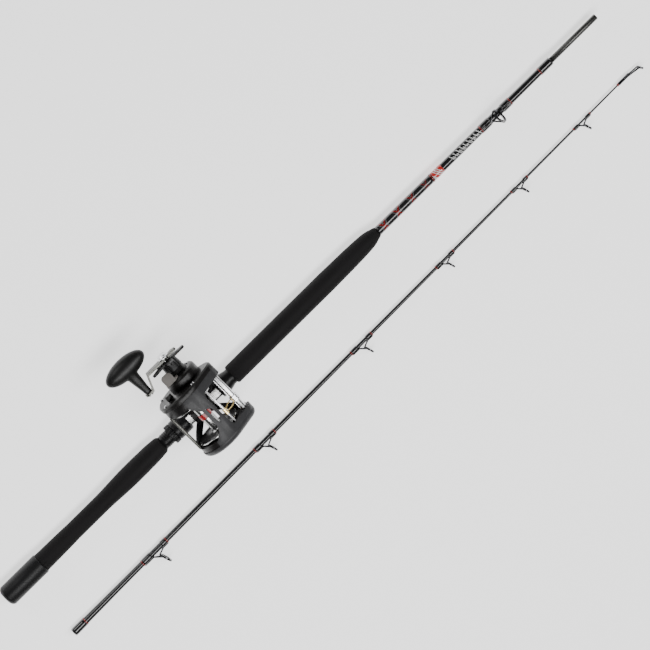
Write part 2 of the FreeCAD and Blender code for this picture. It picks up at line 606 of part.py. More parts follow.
def make_tip_section():
    bore = SPIGOT_R + FERRULE_FIT
    blank = cone(tip_radius(TIP_START), tip_radius(TIP_TOP_START), Vector(TIP_START, 0, 0),
                 Vector(TIP_TOP_START, 0, 0))
    nose = along_x(TIP_NOSE_R, TIP_TOP_START, TIP_END - 2.0)
    swell_end = TIP_START + FERRULE_DEPTH
    swell_r = bore + TIP_WALL
    swell = cone(swell_r, tip_radius(swell_end), Vector(TIP_START, 0, 0), Vector(swell_end, 0, 0))
    blank = fused([blank, nose, swell])
    socket = along_x(bore, TIP_START - 1, TIP_START + FERRULE_DEPTH)
    hollow_start = swell_end + 6.0
    hollow = cone(tip_radius(hollow_start) - TIP_WALL, 0.45, Vector(hollow_start, 0, 0),
                  Vector(TIP_TOP_START - 20.0, 0, 0))
    parts["tip_blank"] = place_tip(blank.cut(socket).cut(hollow))

    def swell_radius(x):
        share = (x - TIP_START) / (swell_end - TIP_START)
        return swell_r + share * (tip_radius(swell_end) - swell_r)

    wraps = [sleeve(swell_radius, TIP_START, TIP_START + END_WRAP_LENGTH, WRAP_T - 0.1)]
    trims = [sleeve(swell_radius, TIP_START + END_WRAP_LENGTH, TIP_START + END_WRAP_LENGTH + TRIM_WIDTH,
                    TRIM_T - 0.1)]
    inserts = []
    for number, spec in enumerate(TIP_GUIDES, start=1):
        frame, insert = guide_pieces(spec, tip_radius)
        parts["tip_guide_%d_frame" % number] = place_tip(frame)
        inserts.append(place_tip(insert))
        wraps += guide_wraps(spec, tip_radius, frame)
        trims.append(sleeve(tip_radius, spec[3] - TRIM_WIDTH, spec[3], TRIM_T))
        trims.append(sleeve(tip_radius, spec[4], spec[4] + TRIM_WIDTH, TRIM_T))
    trims.append(sleeve(tip_radius, TIP_TOP_START - 2 * TRIM_WIDTH, TIP_TOP_START, TRIM_T))

    ring_r = TIP_TOP_RING / 2
    ring_centre = Vector(TIP_TOP_RING_X, 0, TIP_TOP_DROP)
    tilt = math.radians(30)
    normal = Vector(math.cos(tilt), 0, -math.sin(tilt))
    back = ring_centre - normal
    front = ring_centre + normal
    tube = along_x(TIP_TOP_R, TIP_TOP_START, TIP_END)
    tube = tube.cut(along_x(TIP_NOSE_R, TIP_TOP_START - 1, TIP_END - 2.0))
    ring = cylinder(ring_r, back, front)
    struts = []
    for side in (-1, 1):
        root = Vector(TIP_END - 9.0, side * (TIP_TOP_R - 0.3), 0.4)
        head = ring_centre + Vector(0, side * (ring_r - 0.5), -0.6)
        struts.append(cylinder(0.75, root, head))
    keel_root = Vector(TIP_END - 1.5, 0, -0.5)
    keel_head = ring_centre - Vector(math.sin(tilt), 0, math.cos(tilt)) * (ring_r - 0.5)
    struts.append(cylinder(0.75, keel_root, keel_head))
    eye = cylinder(ring_r - 1.3, back - normal * 3, front + normal * 3)
    nose_keep = along_x(TIP_NOSE_R, TIP_TOP_START - 1, TIP_END - 2.0)
    top = fused([tube, ring] + struts).cut(eye).cut(nose_keep)
    parts["tip_top_frame"] = place_tip(top)
    liner = cylinder(ring_r - 1.3, back - normal * 0.2, front + normal * 0.2)
    liner = liner.cut(cylinder(ring_r - 2.3, back - normal * 2, front + normal * 2))
    inserts.append(place_tip(liner))
    parts["tip_guide_rings"] = Part.makeCompound(inserts)
    parts["tip_thread_wraps"] = Part.makeCompound([place_tip(largest_solid(wrap)) for wrap in wraps])
    parts["tip_trim_bands"] = Part.makeCompound([place_tip(trim) for trim in trims])


# ---------------------------------------------------------------- reel: frame
def make_reel_frame():
    ring_inset = COVER_T
    handle_ring = teardrop_shell(ring_inset, RING_WALL, HANDLE_FACE, HANDLE_RING_END)
    handle_web = teardrop(ring_inset, HANDLE_FACE, HANDLE_FACE + WEB)
    handle_ring = fused([handle_ring, handle_web])
    handle_ring = handle_ring.cut(disc(4.0, HANDLE_FACE - 1, HANDLE_FACE + WEB + 1, SPOOL_X, SPOOL_Z))
    worm_hole = disc(WORM_R + RUNNING, HANDLE_FACE - 1, HANDLE_FACE + WEB + 1, TUBE_X, TUBE_Z)
    handle_ring = handle_ring.cut(worm_hole)
    parts["handle_side_ring"] = handle_ring

    palm_ring = teardrop_shell(ring_inset, RING_WALL, PALM_RING_END, PALM_FACE)
    palm_web = teardrop(ring_inset, PALM_FACE - WEB, PALM_FACE)
    palm_ring = fused([palm_ring, palm_web])
    palm_ring = palm_ring.cut(disc(SPOOL_SHAFT_R + 0.5, PALM_RING_END, PALM_FACE + 1, SPOOL_X, SPOOL_Z))
    palm_ring = palm_ring.cut(disc(WORM_R + RUNNING, PALM_RING_END, PALM_FACE + 1, TUBE_X, TUBE_Z))
    parts["palm_side_ring"] = palm_ring

    make_top_cover()
    make_stand()
    parts["rear_pillar"] = disc(PILLAR_R, PALM_FACE, HANDLE_FACE, PILLAR_X, PILLAR_Z)
    parts["guide_rod"] = disc(GUIDE_ROD_R, PALM_FACE, HANDLE_FACE, GUIDE_ROD_X, GUIDE_ROD_Z)
    tube = washer(TUBE_R, TUBE_R - TUBE_WALL, PALM_FACE, HANDLE_FACE, TUBE_X, TUBE_Z)
    slot_width = 2.4
    slot = block(TUBE_X - TUBE_R - 1, TUBE_X, PALM_FACE + 3, HANDLE_FACE - 3,
                 TUBE_Z + 0.4, TUBE_Z + 0.4 + slot_width)
    parts["level_wind_tube"] = tube.cut(slot)


def make_top_cover():
    """Grey cover: a waisted bridge over the spool with a wing over the top of each ring."""
    wings = teardrop_shell(0.0, COVER_T, PALM_RING_END, HANDLE_RING_END)
    front = LOBE_X + LOBE_R + 1.0
    wing_back = SPOOL_X - 9.0
    palm_back = SPOOL_X - 14.0
    wing_plan = [(wing_back, HANDLE_RING_END), (front, HANDLE_RING_END), (front, HANDLE_FACE),
                 (wing_back, HANDLE_FACE)]
    palm_plan = [(palm_back, PALM_FACE), (front, PALM_FACE),
                 (front, PALM_RING_END), (palm_back, PALM_RING_END)]
    low = SPOOL_Z - 2.0
    high = SPOOL_Z + RING_R + 5
    wings = wings.common(plan_prism(wing_plan, low, high).fuse(plan_prism(palm_plan, low, high)))
    bridge_sides = [
        (-9.0, HANDLE_FACE), (-7.5, HANDLE_FACE - 3.0), (-3.0, HANDLE_FACE - 9.0), (1.5, HANDLE_FACE - 14.0),
        (2.0, PALM_FACE + 15.0), (-2.5, PALM_FACE + 7.0), (-11.0, PALM_FACE), (21.0, PALM_FACE),
        (18.5, PALM_FACE + 7.0), (18.0, HANDLE_FACE - 7.0), (21.0, HANDLE_FACE),
    ]
    window_sides = [(7.2, HANDLE_FACE - 15.5), (13.4, HANDLE_FACE - 21.5), (13.4, PALM_FACE + 22.0),
                    (9.2, PALM_FACE + 17.0), (7.2, PALM_FACE + 19.0)]
    bridge_plan = [(SPOOL_X + offset, y) for offset, y in bridge_sides]
    window_plan = [(SPOOL_X + offset, y) for offset, y in window_sides]
    bridge = teardrop_shell(0.0, BRIDGE_T, PALM_FACE, HANDLE_FACE)
    bridge = bridge.common(plan_prism(bridge_plan, SPOOL_Z + 10, high))
    bridge = bridge.cut(plan_prism(window_plan, SPOOL_Z, high))
    parts["top_cover"] = fused([wings, bridge])


def make_stand():
    """Lower frame: four splayed arms that rise from the foot's block to the two rings."""
    low = 0.0
    high = SPOOL_Z - 6.0
    shell = teardrop_shell(COVER_T, BRIDGE_T, PALM_FACE, HANDLE_FACE)
    half = 5.0
    arms = []
    rear_x = SPOOL_X - RING_R + 1.5
    front_x = SPOOL_X + RING_R + 3.5
    corners_xy = [(x, y) for x in (rear_x, front_x) for y in (PALM_FACE, HANDLE_FACE)]
    for end_x, end_y in corners_xy:
        run = Vector(end_x - SPOOL_X, end_y, 0)
        side = Vector(-run.y, run.x, 0).normalize() * half
        reach = run * 1.2
        corners = [(SPOOL_X + side.x, side.y), (SPOOL_X - side.x, -side.y),
                   (SPOOL_X + reach.x - side.x, reach.y - side.y),
                   (SPOOL_X + reach.x + side.x, reach.y + side.y)]
        arms.append(shell.common(plan_prism(corners, low, high)))
    for edge_y in (PALM_FACE, HANDLE_FACE - 3.0):
        slice_box = block(SPOOL_X - 25.0, SPOOL_X + 30.0, edge_y, edge_y + 3.0, low, SPOOL_Z - 18.0)
        arms.append(shell.common(slice_box))
    foot_top = SEAT_FLAT_Z + FOOT_T
    ring_low = SPOOL_Z - RING_R + COVER_T
    saddle = block(SPOOL_X - SADDLE_HALF, SPOOL_X + SADDLE_HALF, -8.0, 8.0,
                   foot_top, ring_low + BRIDGE_T - 0.5)
    saddle = saddle.cut(teardrop(COVER_T + BRIDGE_T, PALM_FACE, HANDLE_FACE))
    parts["reel_stand"] = fused([saddle] + arms)

    hood_end = NUT_START + NUT_LENGTH + HOOD_LENGTH
    foot_start = hood_end - HOOD_WALL_FRONT
    foot_end = FIXED_HOOD_START + HOOD_WALL_FRONT
    tongue = block(foot_start, foot_end, -FOOT_HALF_WIDTH, FOOT_HALF_WIDTH, SEAT_FLAT_Z, foot_top)
    middle = block(SPOOL_X - SADDLE_HALF - 2.0, SPOOL_X + SADDLE_HALF + 2.0, -8.0, 8.0, SEAT_FLAT_Z, foot_top)
    foot = fused([tongue, middle])
    parts["reel_foot"] = foot


# ---------------------------------------------------------------- reel: side plates
def make_side_plates():
    plate = teardrop(0.0, HANDLE_RING_END, SIDE_PLATE_END)
    rim = [edge for edge in plate.Edges
           if edge.BoundBox.YMin > SIDE_PLATE_END - 0.01]
    plate = plate.makeChamfer(2.2, rim)
    plate = plate.cut(teardrop(COVER_T + RING_WALL, HANDLE_RING_END - 1, SIDE_PLATE_END - 2.5))
    plate = plate.cut(disc(DOME_R - DOME_WALL, HANDLE_RING_END, SIDE_PLATE_END + 1, DOME_X, DOME_Z))
    plate = plate.cut(disc(1.5, HANDLE_RING_END, SIDE_PLATE_END + 1, THUMB_X, THUMB_Z))
    parts["handle_side_plate"] = plate

    dome = disc(DOME_R, SIDE_PLATE_END, GEAR_COVER_END, DOME_X, DOME_Z)
    top_edge = [edge for edge in dome.Edges if edge.BoundBox.YMin > GEAR_COVER_END - 0.01]
    dome = dome.makeFillet(4.5, top_edge)
    boss = cone(BOSS_R + 1.5, BOSS_R, Vector(DRIVE_X, GEAR_COVER_END - 1, DRIVE_Z),
                Vector(DRIVE_X, BOSS_END, DRIVE_Z))
    hollow = disc(DOME_R - DOME_WALL, SIDE_PLATE_END - 1, GEAR_COVER_END - DOME_WALL, DOME_X, DOME_Z)
    hollow_edge = [edge for edge in hollow.Edges if edge.BoundBox.YMin > GEAR_COVER_END - DOME_WALL - 0.01]
    hollow = hollow.makeFillet(2.5, hollow_edge)
    bearing_end = SPOOL_BEARING_Y + SPOOL_BEARING_T
    bearing_post = disc(6.0, SPOOL_BEARING_Y - 0.5, GEAR_COVER_END - DOME_WALL + 0.5, SPOOL_X, SPOOL_Z)
    bearing_pocket = disc(SPOOL_BEARING_R, SPOOL_BEARING_Y - 1, bearing_end + 0.2, SPOOL_X, SPOOL_Z)
    dome = dome.cut(hollow).fuse(boss).fuse(bearing_post).cut(bearing_pocket)
    dome = dome.cut(disc(ONE_WAY_R, SIDE_PLATE_END, BOSS_END + 1, DRIVE_X, DRIVE_Z))
    dome = dome.cut(disc(LEVER_SHAFT_R + RUNNING, SIDE_PLATE_END, GEAR_COVER_END + 1, LEVER_X, LEVER_Z))
    parts["gear_cover"] = dome.removeSplitter()
    parts["one_way_bearing"] = washer(ONE_WAY_R, DRIVE_SHAFT_R + RUNNING, GEAR_COVER_END - 6.0, BOSS_END,
                                      DRIVE_X, DRIVE_Z)

    palm_runs = teardrop(0.0, PALM_PLATE_END, PALM_RING_END)
    outer = [edge for edge in palm_runs.Edges if edge.BoundBox.YMax < PALM_PLATE_END + 0.01]
    palm = palm_runs.makeFillet(8.0, outer)
    inside = teardrop(PALM_SHELL + 0.2, PALM_PLATE_END + PALM_SHELL, PALM_RING_END + 1)
    inner = [edge for edge in inside.Edges if edge.BoundBox.YMax < PALM_PLATE_END + PALM_SHELL + 0.01]
    inside = inside.makeFillet(5.5, inner)
    palm = palm.cut(inside)
    web_back = PALM_FACE - WEB
    pocket_floor = web_back - PALM_BEARING_T - 1.3
    post = disc(PALM_BEARING_R + 2.0, PALM_PLATE_END + 2.0, web_back, SPOOL_X, SPOOL_Z)
    pocket = disc(PALM_BEARING_R, pocket_floor, web_back + 1, SPOOL_X, SPOOL_Z)
    button_cut = block(SPOOL_X - 4.2, SPOOL_X + 8.2, PALM_PLATE_END - 1, PALM_PLATE_END + 5,
                       BUTTON_Z - 2.0, BUTTON_Z + 2.0)
    palm = palm.fuse(post).cut(pocket).cut(button_cut)
    parts["palm_side_plate"] = palm.removeSplitter()

    bearings = [washer(PALM_BEARING_R, SPOOL_SHAFT_R + RUNNING, pocket_floor + 0.5,
                       pocket_floor + 0.5 + PALM_BEARING_T, SPOOL_X, SPOOL_Z),
                washer(SPOOL_BEARING_R, PINION_SHAFT_R + RUNNING, SPOOL_BEARING_Y, bearing_end,
                       SPOOL_X, SPOOL_Z)]
    parts["spool_bearings"] = Part.makeCompound(bearings)

    screws = []
    places = [(SPOOL_X + (RING_R - 3.6) * math.cos(math.radians(angle)),
               SPOOL_Z + (RING_R - 3.6) * math.sin(math.radians(angle))) for angle in SIDE_SCREW_ANGLES]
    for x, z in places:
        head = cone(2.6, 1.9, Vector(x, SIDE_PLATE_END, z), Vector(x, SIDE_PLATE_END + 1.6, z))
        slot = block(x - 3, x + 3, SIDE_PLATE_END + 0.9, SIDE_PLATE_END + 2, z - 0.4, z + 0.4)
        screws.append(head.cut(slot))
    for angle in COVER_SCREW_ANGLES:
        x = DOME_X + (DOME_R - 6.9) * math.cos(math.radians(angle))
        z = DOME_Z + (DOME_R - 6.9) * math.sin(math.radians(angle))
        screws.append(cone(COVER_SCREW_R, COVER_SCREW_R - 0.6, Vector(x, GEAR_COVER_END, z),
                           Vector(x, GEAR_COVER_END + 1.2, z)))
    parts["side_plate_screws"] = Part.makeCompound(screws)

    thumb = disc(THUMB_R, SIDE_PLATE_END + BODY_GAP, THUMB_END, THUMB_X, THUMB_Z)
    thumb = knurled(thumb, 12, THUMB_R + 0.4, 0.8, SIDE_PLATE_END + BODY_GAP, THUMB_END, THUMB_X, THUMB_Z)
    shank = disc(1.5 - RUNNING, SIDE_PLATE_END - 3.0, SIDE_PLATE_END + 1.0, THUMB_X, THUMB_Z)
    parts["thumb_screw"] = fused([thumb, shank])
    button = block(SPOOL_X - 3.9, SPOOL_X + 2.1, PALM_PLATE_END - 0.6, PALM_PLATE_END + 4.5,
                   BUTTON_Z - 2.0 + BODY_GAP, BUTTON_Z + 2.0 - BODY_GAP)
    parts["clicker_button"] = button


# ---------------------------------------------------------------- reel: spool and drive train
def make_spool():
    handle_flange = HANDLE_FACE - SPOOL_GAP
    palm_flange = PALM_FACE + SPOOL_GAP
    handle_disc = disc(SPOOL_FLANGE_R, handle_flange - SPOOL_FLANGE_T, handle_flange, SPOOL_X, SPOOL_Z)
    palm_disc = disc(SPOOL_FLANGE_R, palm_flange, palm_flange + SPOOL_FLANGE_T, SPOOL_X, SPOOL_Z)
    handle_disc = handle_disc.makeChamfer(0.6, handle_disc.Edges[0:1] + handle_disc.Edges[2:3])
    palm_disc = palm_disc.makeChamfer(0.6, palm_disc.Edges[0:1] + palm_disc.Edges[2:3])
    arbor = disc(ARBOR_R, palm_flange + 1, handle_flange - 1, SPOOL_X, SPOOL_Z)
    shoulder_y = PINION_START - 1.5
    palm_shaft = disc(SPOOL_SHAFT_R, PALM_FACE - WEB - PALM_BEARING_T - 0.6, palm_flange + 1,
                      SPOOL_X, SPOOL_Z)
    handle_shaft = disc(SPOOL_SHAFT_R, handle_flange - 1, shoulder_y, SPOOL_X, SPOOL_Z)
    pinion_shaft = disc(PINION_SHAFT_R, shoulder_y - 0.5, SPOOL_BEARING_Y + SPOOL_BEARING_T - 0.3,
                        SPOOL_X, SPOOL_Z)
    parts["spool"] = fused([handle_disc, palm_disc, arbor, palm_shaft, handle_shaft, pinion_shaft])
    middle = (PALM_FACE + HANDLE_FACE) / 2
    parts["line_pin"] = washer(ARBOR_R + 0.8, ARBOR_R, middle - LINE_PIN_WIDTH / 2, middle + LINE_PIN_WIDTH / 2,
                               SPOOL_X, SPOOL_Z)


def make_gears():
    direction = math.radians(DRIVE_ANGLE)
    main_phase = direction + math.pi
    pinion_phase = meshing_phase(MAIN_TEETH, main_phase, PINION_TEETH, direction + math.pi)
    main_end = MAIN_GEAR_Y + MAIN_GEAR_T
    main = gear(MAIN_TEETH, MAIN_MODULE, main_phase, DRIVE_X, DRIVE_Z, MAIN_GEAR_Y, main_end, DRIVE_SHAFT_R)
    for index in range(5):
        angle = 2 * math.pi * index / 5
        hole_x = DRIVE_X + 9.0 * math.cos(angle)
        hole_z = DRIVE_Z + 9.0 * math.sin(angle)
        main = main.cut(disc(2.0, MAIN_GEAR_Y - 1, main_end + 1, hole_x, hole_z))
    parts["main_gear"] = main
    neck_start = PINION_START + PINION_LENGTH
    collar_start = neck_start + COLLAR_GAP
    bore = PINION_SHAFT_R + RUNNING
    pinion = gear(PINION_TEETH, MAIN_MODULE, pinion_phase, SPOOL_X, SPOOL_Z, PINION_START, neck_start, bore)
    collar = washer(3.4, bore, collar_start, collar_start + 1.4, SPOOL_X, SPOOL_Z)
    neck = washer(NECK_R, bore, neck_start, collar_start, SPOOL_X, SPOOL_Z)
    parts["pinion_gear"] = fused([pinion, neck, collar])

    heading = math.atan2(TUBE_Z - DRIVE_Z, TUBE_X - DRIVE_X)
    first = LW_MODULE * (LW_DRIVE_TEETH + LW_IDLER_TEETH) / 2
    second = LW_MODULE * (LW_IDLER_TEETH + LW_WORM_TEETH) / 2
    bend = math.acos((first ** 2 + LW_SPAN ** 2 - second ** 2) / (2 * first * LW_SPAN))
    idler_heading = heading + bend
    idler_x = DRIVE_X + first * math.cos(idler_heading)
    idler_z = DRIVE_Z + first * math.sin(idler_heading)
    worm_heading = math.atan2(TUBE_Z - idler_z, TUBE_X - idler_x)
    idler_phase = meshing_phase(LW_DRIVE_TEETH, idler_heading, LW_IDLER_TEETH, idler_heading)
    worm_phase = meshing_phase(LW_IDLER_TEETH, idler_phase, LW_WORM_TEETH, worm_heading)
    y0 = HANDLE_FACE + WEB + BODY_GAP
    y1 = y0 + 3.0
    cut_gear = gear(LW_DRIVE_TEETH, LW_MODULE, idler_heading, DRIVE_X, DRIVE_Z, y0, y1, DRIVE_SHAFT_R - 1)
    shaft = disc(DRIVE_SHAFT_R, y0, DRIVE_SHAFT_END, DRIVE_X, DRIVE_Z)
    shoulder = disc(7.0, STAR_PLATE_Y + STAR_PLATE_T + BODY_GAP, ARM_Y, DRIVE_X, DRIVE_Z)
    parts["drive_shaft"] = fused([shaft, cut_gear, shoulder])
    stud_r = 1.5
    parts["level_wind_idler_gear"] = gear(LW_IDLER_TEETH, LW_MODULE, idler_phase, idler_x, idler_z,
                                          y0, y1, stud_r + RUNNING)
    stud = disc(stud_r, HANDLE_FACE + WEB, y1 + BODY_GAP, idler_x, idler_z)
    stud_head = disc(stud_r + 1.2, y1 + BODY_GAP, y1 + BODY_GAP + 0.8, idler_x, idler_z)
    posts = [fused([stud, stud_head])]
    for post_x, post_z in yoke_post_places():
        post = disc(YOKE_POST_R, HANDLE_FACE + WEB, YOKE_POST_END, post_x, post_z)
        head = disc(2.0, YOKE_POST_END - 0.8, YOKE_POST_END, post_x, post_z)
        posts.append(fused([post, head]))
    parts["gear_side_posts"] = Part.makeCompound(posts)
    worm_gear = gear(LW_WORM_TEETH, LW_MODULE, worm_phase, TUBE_X, TUBE_Z, y0, y1, 1.0)
    parts["worm_shaft"] = fused([make_worm(), worm_gear])
    return idler_x, idler_z


def make_worm():
    """Worm bar; its two crossed grooves are shown as a row of shallow grooves."""
    worm = disc(WORM_R, PALM_FACE - WEB, HANDLE_FACE + WEB, TUBE_X, TUBE_Z)
    grooves = int((HANDLE_FACE - PALM_FACE - 8.0) / WORM_PITCH) + 1
    for index in range(grooves):
        y = PALM_FACE + 4.0 + index * WORM_PITCH
        worm = worm.cut(washer(WORM_R + 1, WORM_R - 0.6, y, y + 1.4, TUBE_X, TUBE_Z))
    stub = disc(1.6, HANDLE_FACE + WEB, HANDLE_FACE + WEB + 3.8, TUBE_X, TUBE_Z)
    return fused([worm, stub])


def make_line_guide():
    """Brass wire loop that stands from the tube to the guide rod, on a carriage round the tube."""
    y = LINE_GUIDE_Y
    half = LINE_GUIDE_WIDTH / 2
    wire_y = half - WIRE_R - 0.2
    carriage = washer(TUBE_R + 1.6, TUBE_R + RUNNING, y - half, y + half, TUBE_X, TUBE_Z)
    rod_hub = washer(GUIDE_ROD_R + 1.3, GUIDE_ROD_R + RUNNING, y - half, y + half, GUIDE_ROD_X, GUIDE_ROD_Z)
    run = Vector(GUIDE_ROD_X - TUBE_X, 0, GUIDE_ROD_Z - TUBE_Z)
    heading = Vector(run).normalize()
    wires = []
    for side in (-1, 1):
        low = Vector(TUBE_X, y + side * wire_y, TUBE_Z) + heading * (TUBE_R + 0.6)
        high = Vector(GUIDE_ROD_X, y + side * wire_y, GUIDE_ROD_Z) - heading * (GUIDE_ROD_R + 0.6)
        wires.append(cylinder(WIRE_R, low, high))
    keep = [disc(TUBE_R + RUNNING, PALM_FACE, HANDLE_FACE, TUBE_X, TUBE_Z),
            disc(GUIDE_ROD_R + RUNNING, PALM_FACE, HANDLE_FACE, GUIDE_ROD_X, GUIDE_ROD_Z)]
    loop = fused([carriage, rod_hub] + wires)
    for bar in keep:
        loop = loop.cut(bar)
    parts["line_guide"] = loop
    toward = Vector(-1, 0, 0)
    base = Vector(TUBE_X, y, TUBE_Z + 1.6)
    pawl = cylinder(1.0, base + toward * (WORM_R + 0.2), base + toward * (TUBE_R + 0.9))
    parts["level_wind_pawl"] = pawl.cut(carriage)


def yoke_post_places():
    """Where the yoke's two posts stand, one each side of the spool axis."""
    run = Vector(DOME_X - SPOOL_X, 0, DOME_Z - SPOOL_Z).normalize()
    places = []
    for side in (-1, 1):
        places.append((SPOOL_X - side * YOKE_POST_REACH * run.z, SPOOL_Z + side * YOKE_POST_REACH * run.x))
    return places


def make_clutch():
    """Yoke that lifts the pinion, its springs, and the lever that works it."""
    (x0, z0), (x1, z1) = yoke_post_places()
    run = Vector(x1 - x0, 0, z1 - z0).normalize()
    side = Vector(-run.z, 0, run.x) * 3.2
    corners = [(x0 + side.x, z0 + side.z), (x0 - side.x, z0 - side.z),
               (x1 - side.x, z1 - side.z), (x1 + side.x, z1 + side.z)]
    top = YOKE_Y + YOKE_T
    bar = side_prism(corners, YOKE_Y, top)
    plate = fused([bar, disc(3.2, YOKE_Y, top, x0, z0), disc(3.2, YOKE_Y, top, x1, z1),
                   disc(5.0, YOKE_Y, top, SPOOL_X, SPOOL_Z)])
    plate = plate.cut(disc(NECK_R + RUNNING, YOKE_Y - 1, top + 1, SPOOL_X, SPOOL_Z))
    springs = []
    for x, z in ((x0, z0), (x1, z1)):
        plate = plate.cut(disc(YOKE_POST_R + RUNNING, YOKE_Y - 1, top + 1, x, z))
        springs.append(washer(2.0, YOKE_POST_R + 0.2, top, YOKE_POST_END - 0.8, x, z))
    parts["clutch_yoke"] = plate
    parts["yoke_springs"] = Part.makeCompound(springs)

    cam_y = YOKE_POST_END + BODY_GAP
    shaft = disc(LEVER_SHAFT_R, cam_y, GEAR_COVER_END + 2.0, LEVER_X, LEVER_Z)
    cam = disc(3.2, cam_y, cam_y + 1.5, LEVER_X, LEVER_Z)
    y0 = GEAR_COVER_END + BODY_GAP
    hub = disc(4.2, y0, y0 + 2.4, LEVER_X, LEVER_Z)
    run = Vector(LEVER_TAB_X - LEVER_X, 0, LEVER_TAB_Z - LEVER_Z)
    side = Vector(-run.z, 0, run.x).normalize() * 3.4
    corners = [(LEVER_X + side.x, LEVER_Z + side.z), (LEVER_X - side.x, LEVER_Z - side.z),
               (LEVER_TAB_X - side.x, LEVER_TAB_Z - side.z), (LEVER_TAB_X + side.x, LEVER_TAB_Z + side.z)]
    blade = side_prism(corners, y0, y0 + 2.4)
    tab_end = GEAR_COVER_END + LEVER_TAB_REACH
    tab = block(LEVER_TAB_X - 8.0, LEVER_TAB_X + 7.6, y0, tab_end, LEVER_TAB_Z - 1.0, LEVER_TAB_Z + 2.4)
    long_edges = [edge for edge in tab.Edges
                  if edge.BoundBox.YMin > tab_end - 0.1 and edge.BoundBox.XMax - edge.BoundBox.XMin < 0.01]
    tab = tab.makeFillet(5.0, long_edges)
    parts["free_spool_lever"] = fused([shaft, cam, hub, blade, tab])


def make_drive():
    washers = []
    for index in range(4):
        radius = 12.0 if index % 2 == 0 else 11.4
        y = MAIN_GEAR_Y + MAIN_GEAR_T + index * DRAG_WASHER_T
        washers.append(washer(radius, DRIVE_SHAFT_R, y, y + DRAG_WASHER_T, DRIVE_X, DRIVE_Z))
    parts["drag_washers"] = Part.makeCompound(washers)

    hub = cone(STAR_HUB_R, STAR_HUB_R - 1.2, Vector(DRIVE_X, BOSS_END + BODY_GAP, DRIVE_Z),
               Vector(DRIVE_X, STAR_PLATE_Y + 0.5, DRIVE_Z))
    arms = []
    for index in range(5):
        angle = math.radians(STAR_TURN + 72.0 * index)
        tip = Vector(DRIVE_X + (STAR_ARM_R - 4.0) * math.cos(angle), STAR_PLATE_Y,
                     DRIVE_Z + (STAR_ARM_R - 4.0) * math.sin(angle))
        side = Vector(-math.sin(angle), 0, math.cos(angle))
        root = Vector(DRIVE_X, STAR_PLATE_Y, DRIVE_Z)
        corners = [root + side * 7.5, root - side * 7.5, tip - side * 4.0, tip + side * 4.0]
        face = Part.Face(Part.makePolygon(corners + corners[:1]))
        arms.append(face.extrude(Vector(0, STAR_PLATE_T, 0)))
        arms.append(disc(4.0, STAR_PLATE_Y, STAR_PLATE_Y + STAR_PLATE_T, tip.x, tip.z))
    star = fused([hub] + arms)
    for index in range(5):
        angle = math.radians(STAR_TURN + 36.0 + 72.0 * index)
        gx = DRIVE_X + (STAR_HUB_R + 2.5) * math.cos(angle)
        gz = DRIVE_Z + (STAR_HUB_R + 2.5) * math.sin(angle)
        star = star.cut(disc(4.0, BOSS_END, STAR_PLATE_Y, gx, gz))
    parts["star_drag"] = star.cut(disc(DRIVE_SHAFT_R + RUNNING, BOSS_END, ARM_Y, DRIVE_X, DRIVE_Z))
    make_handle()


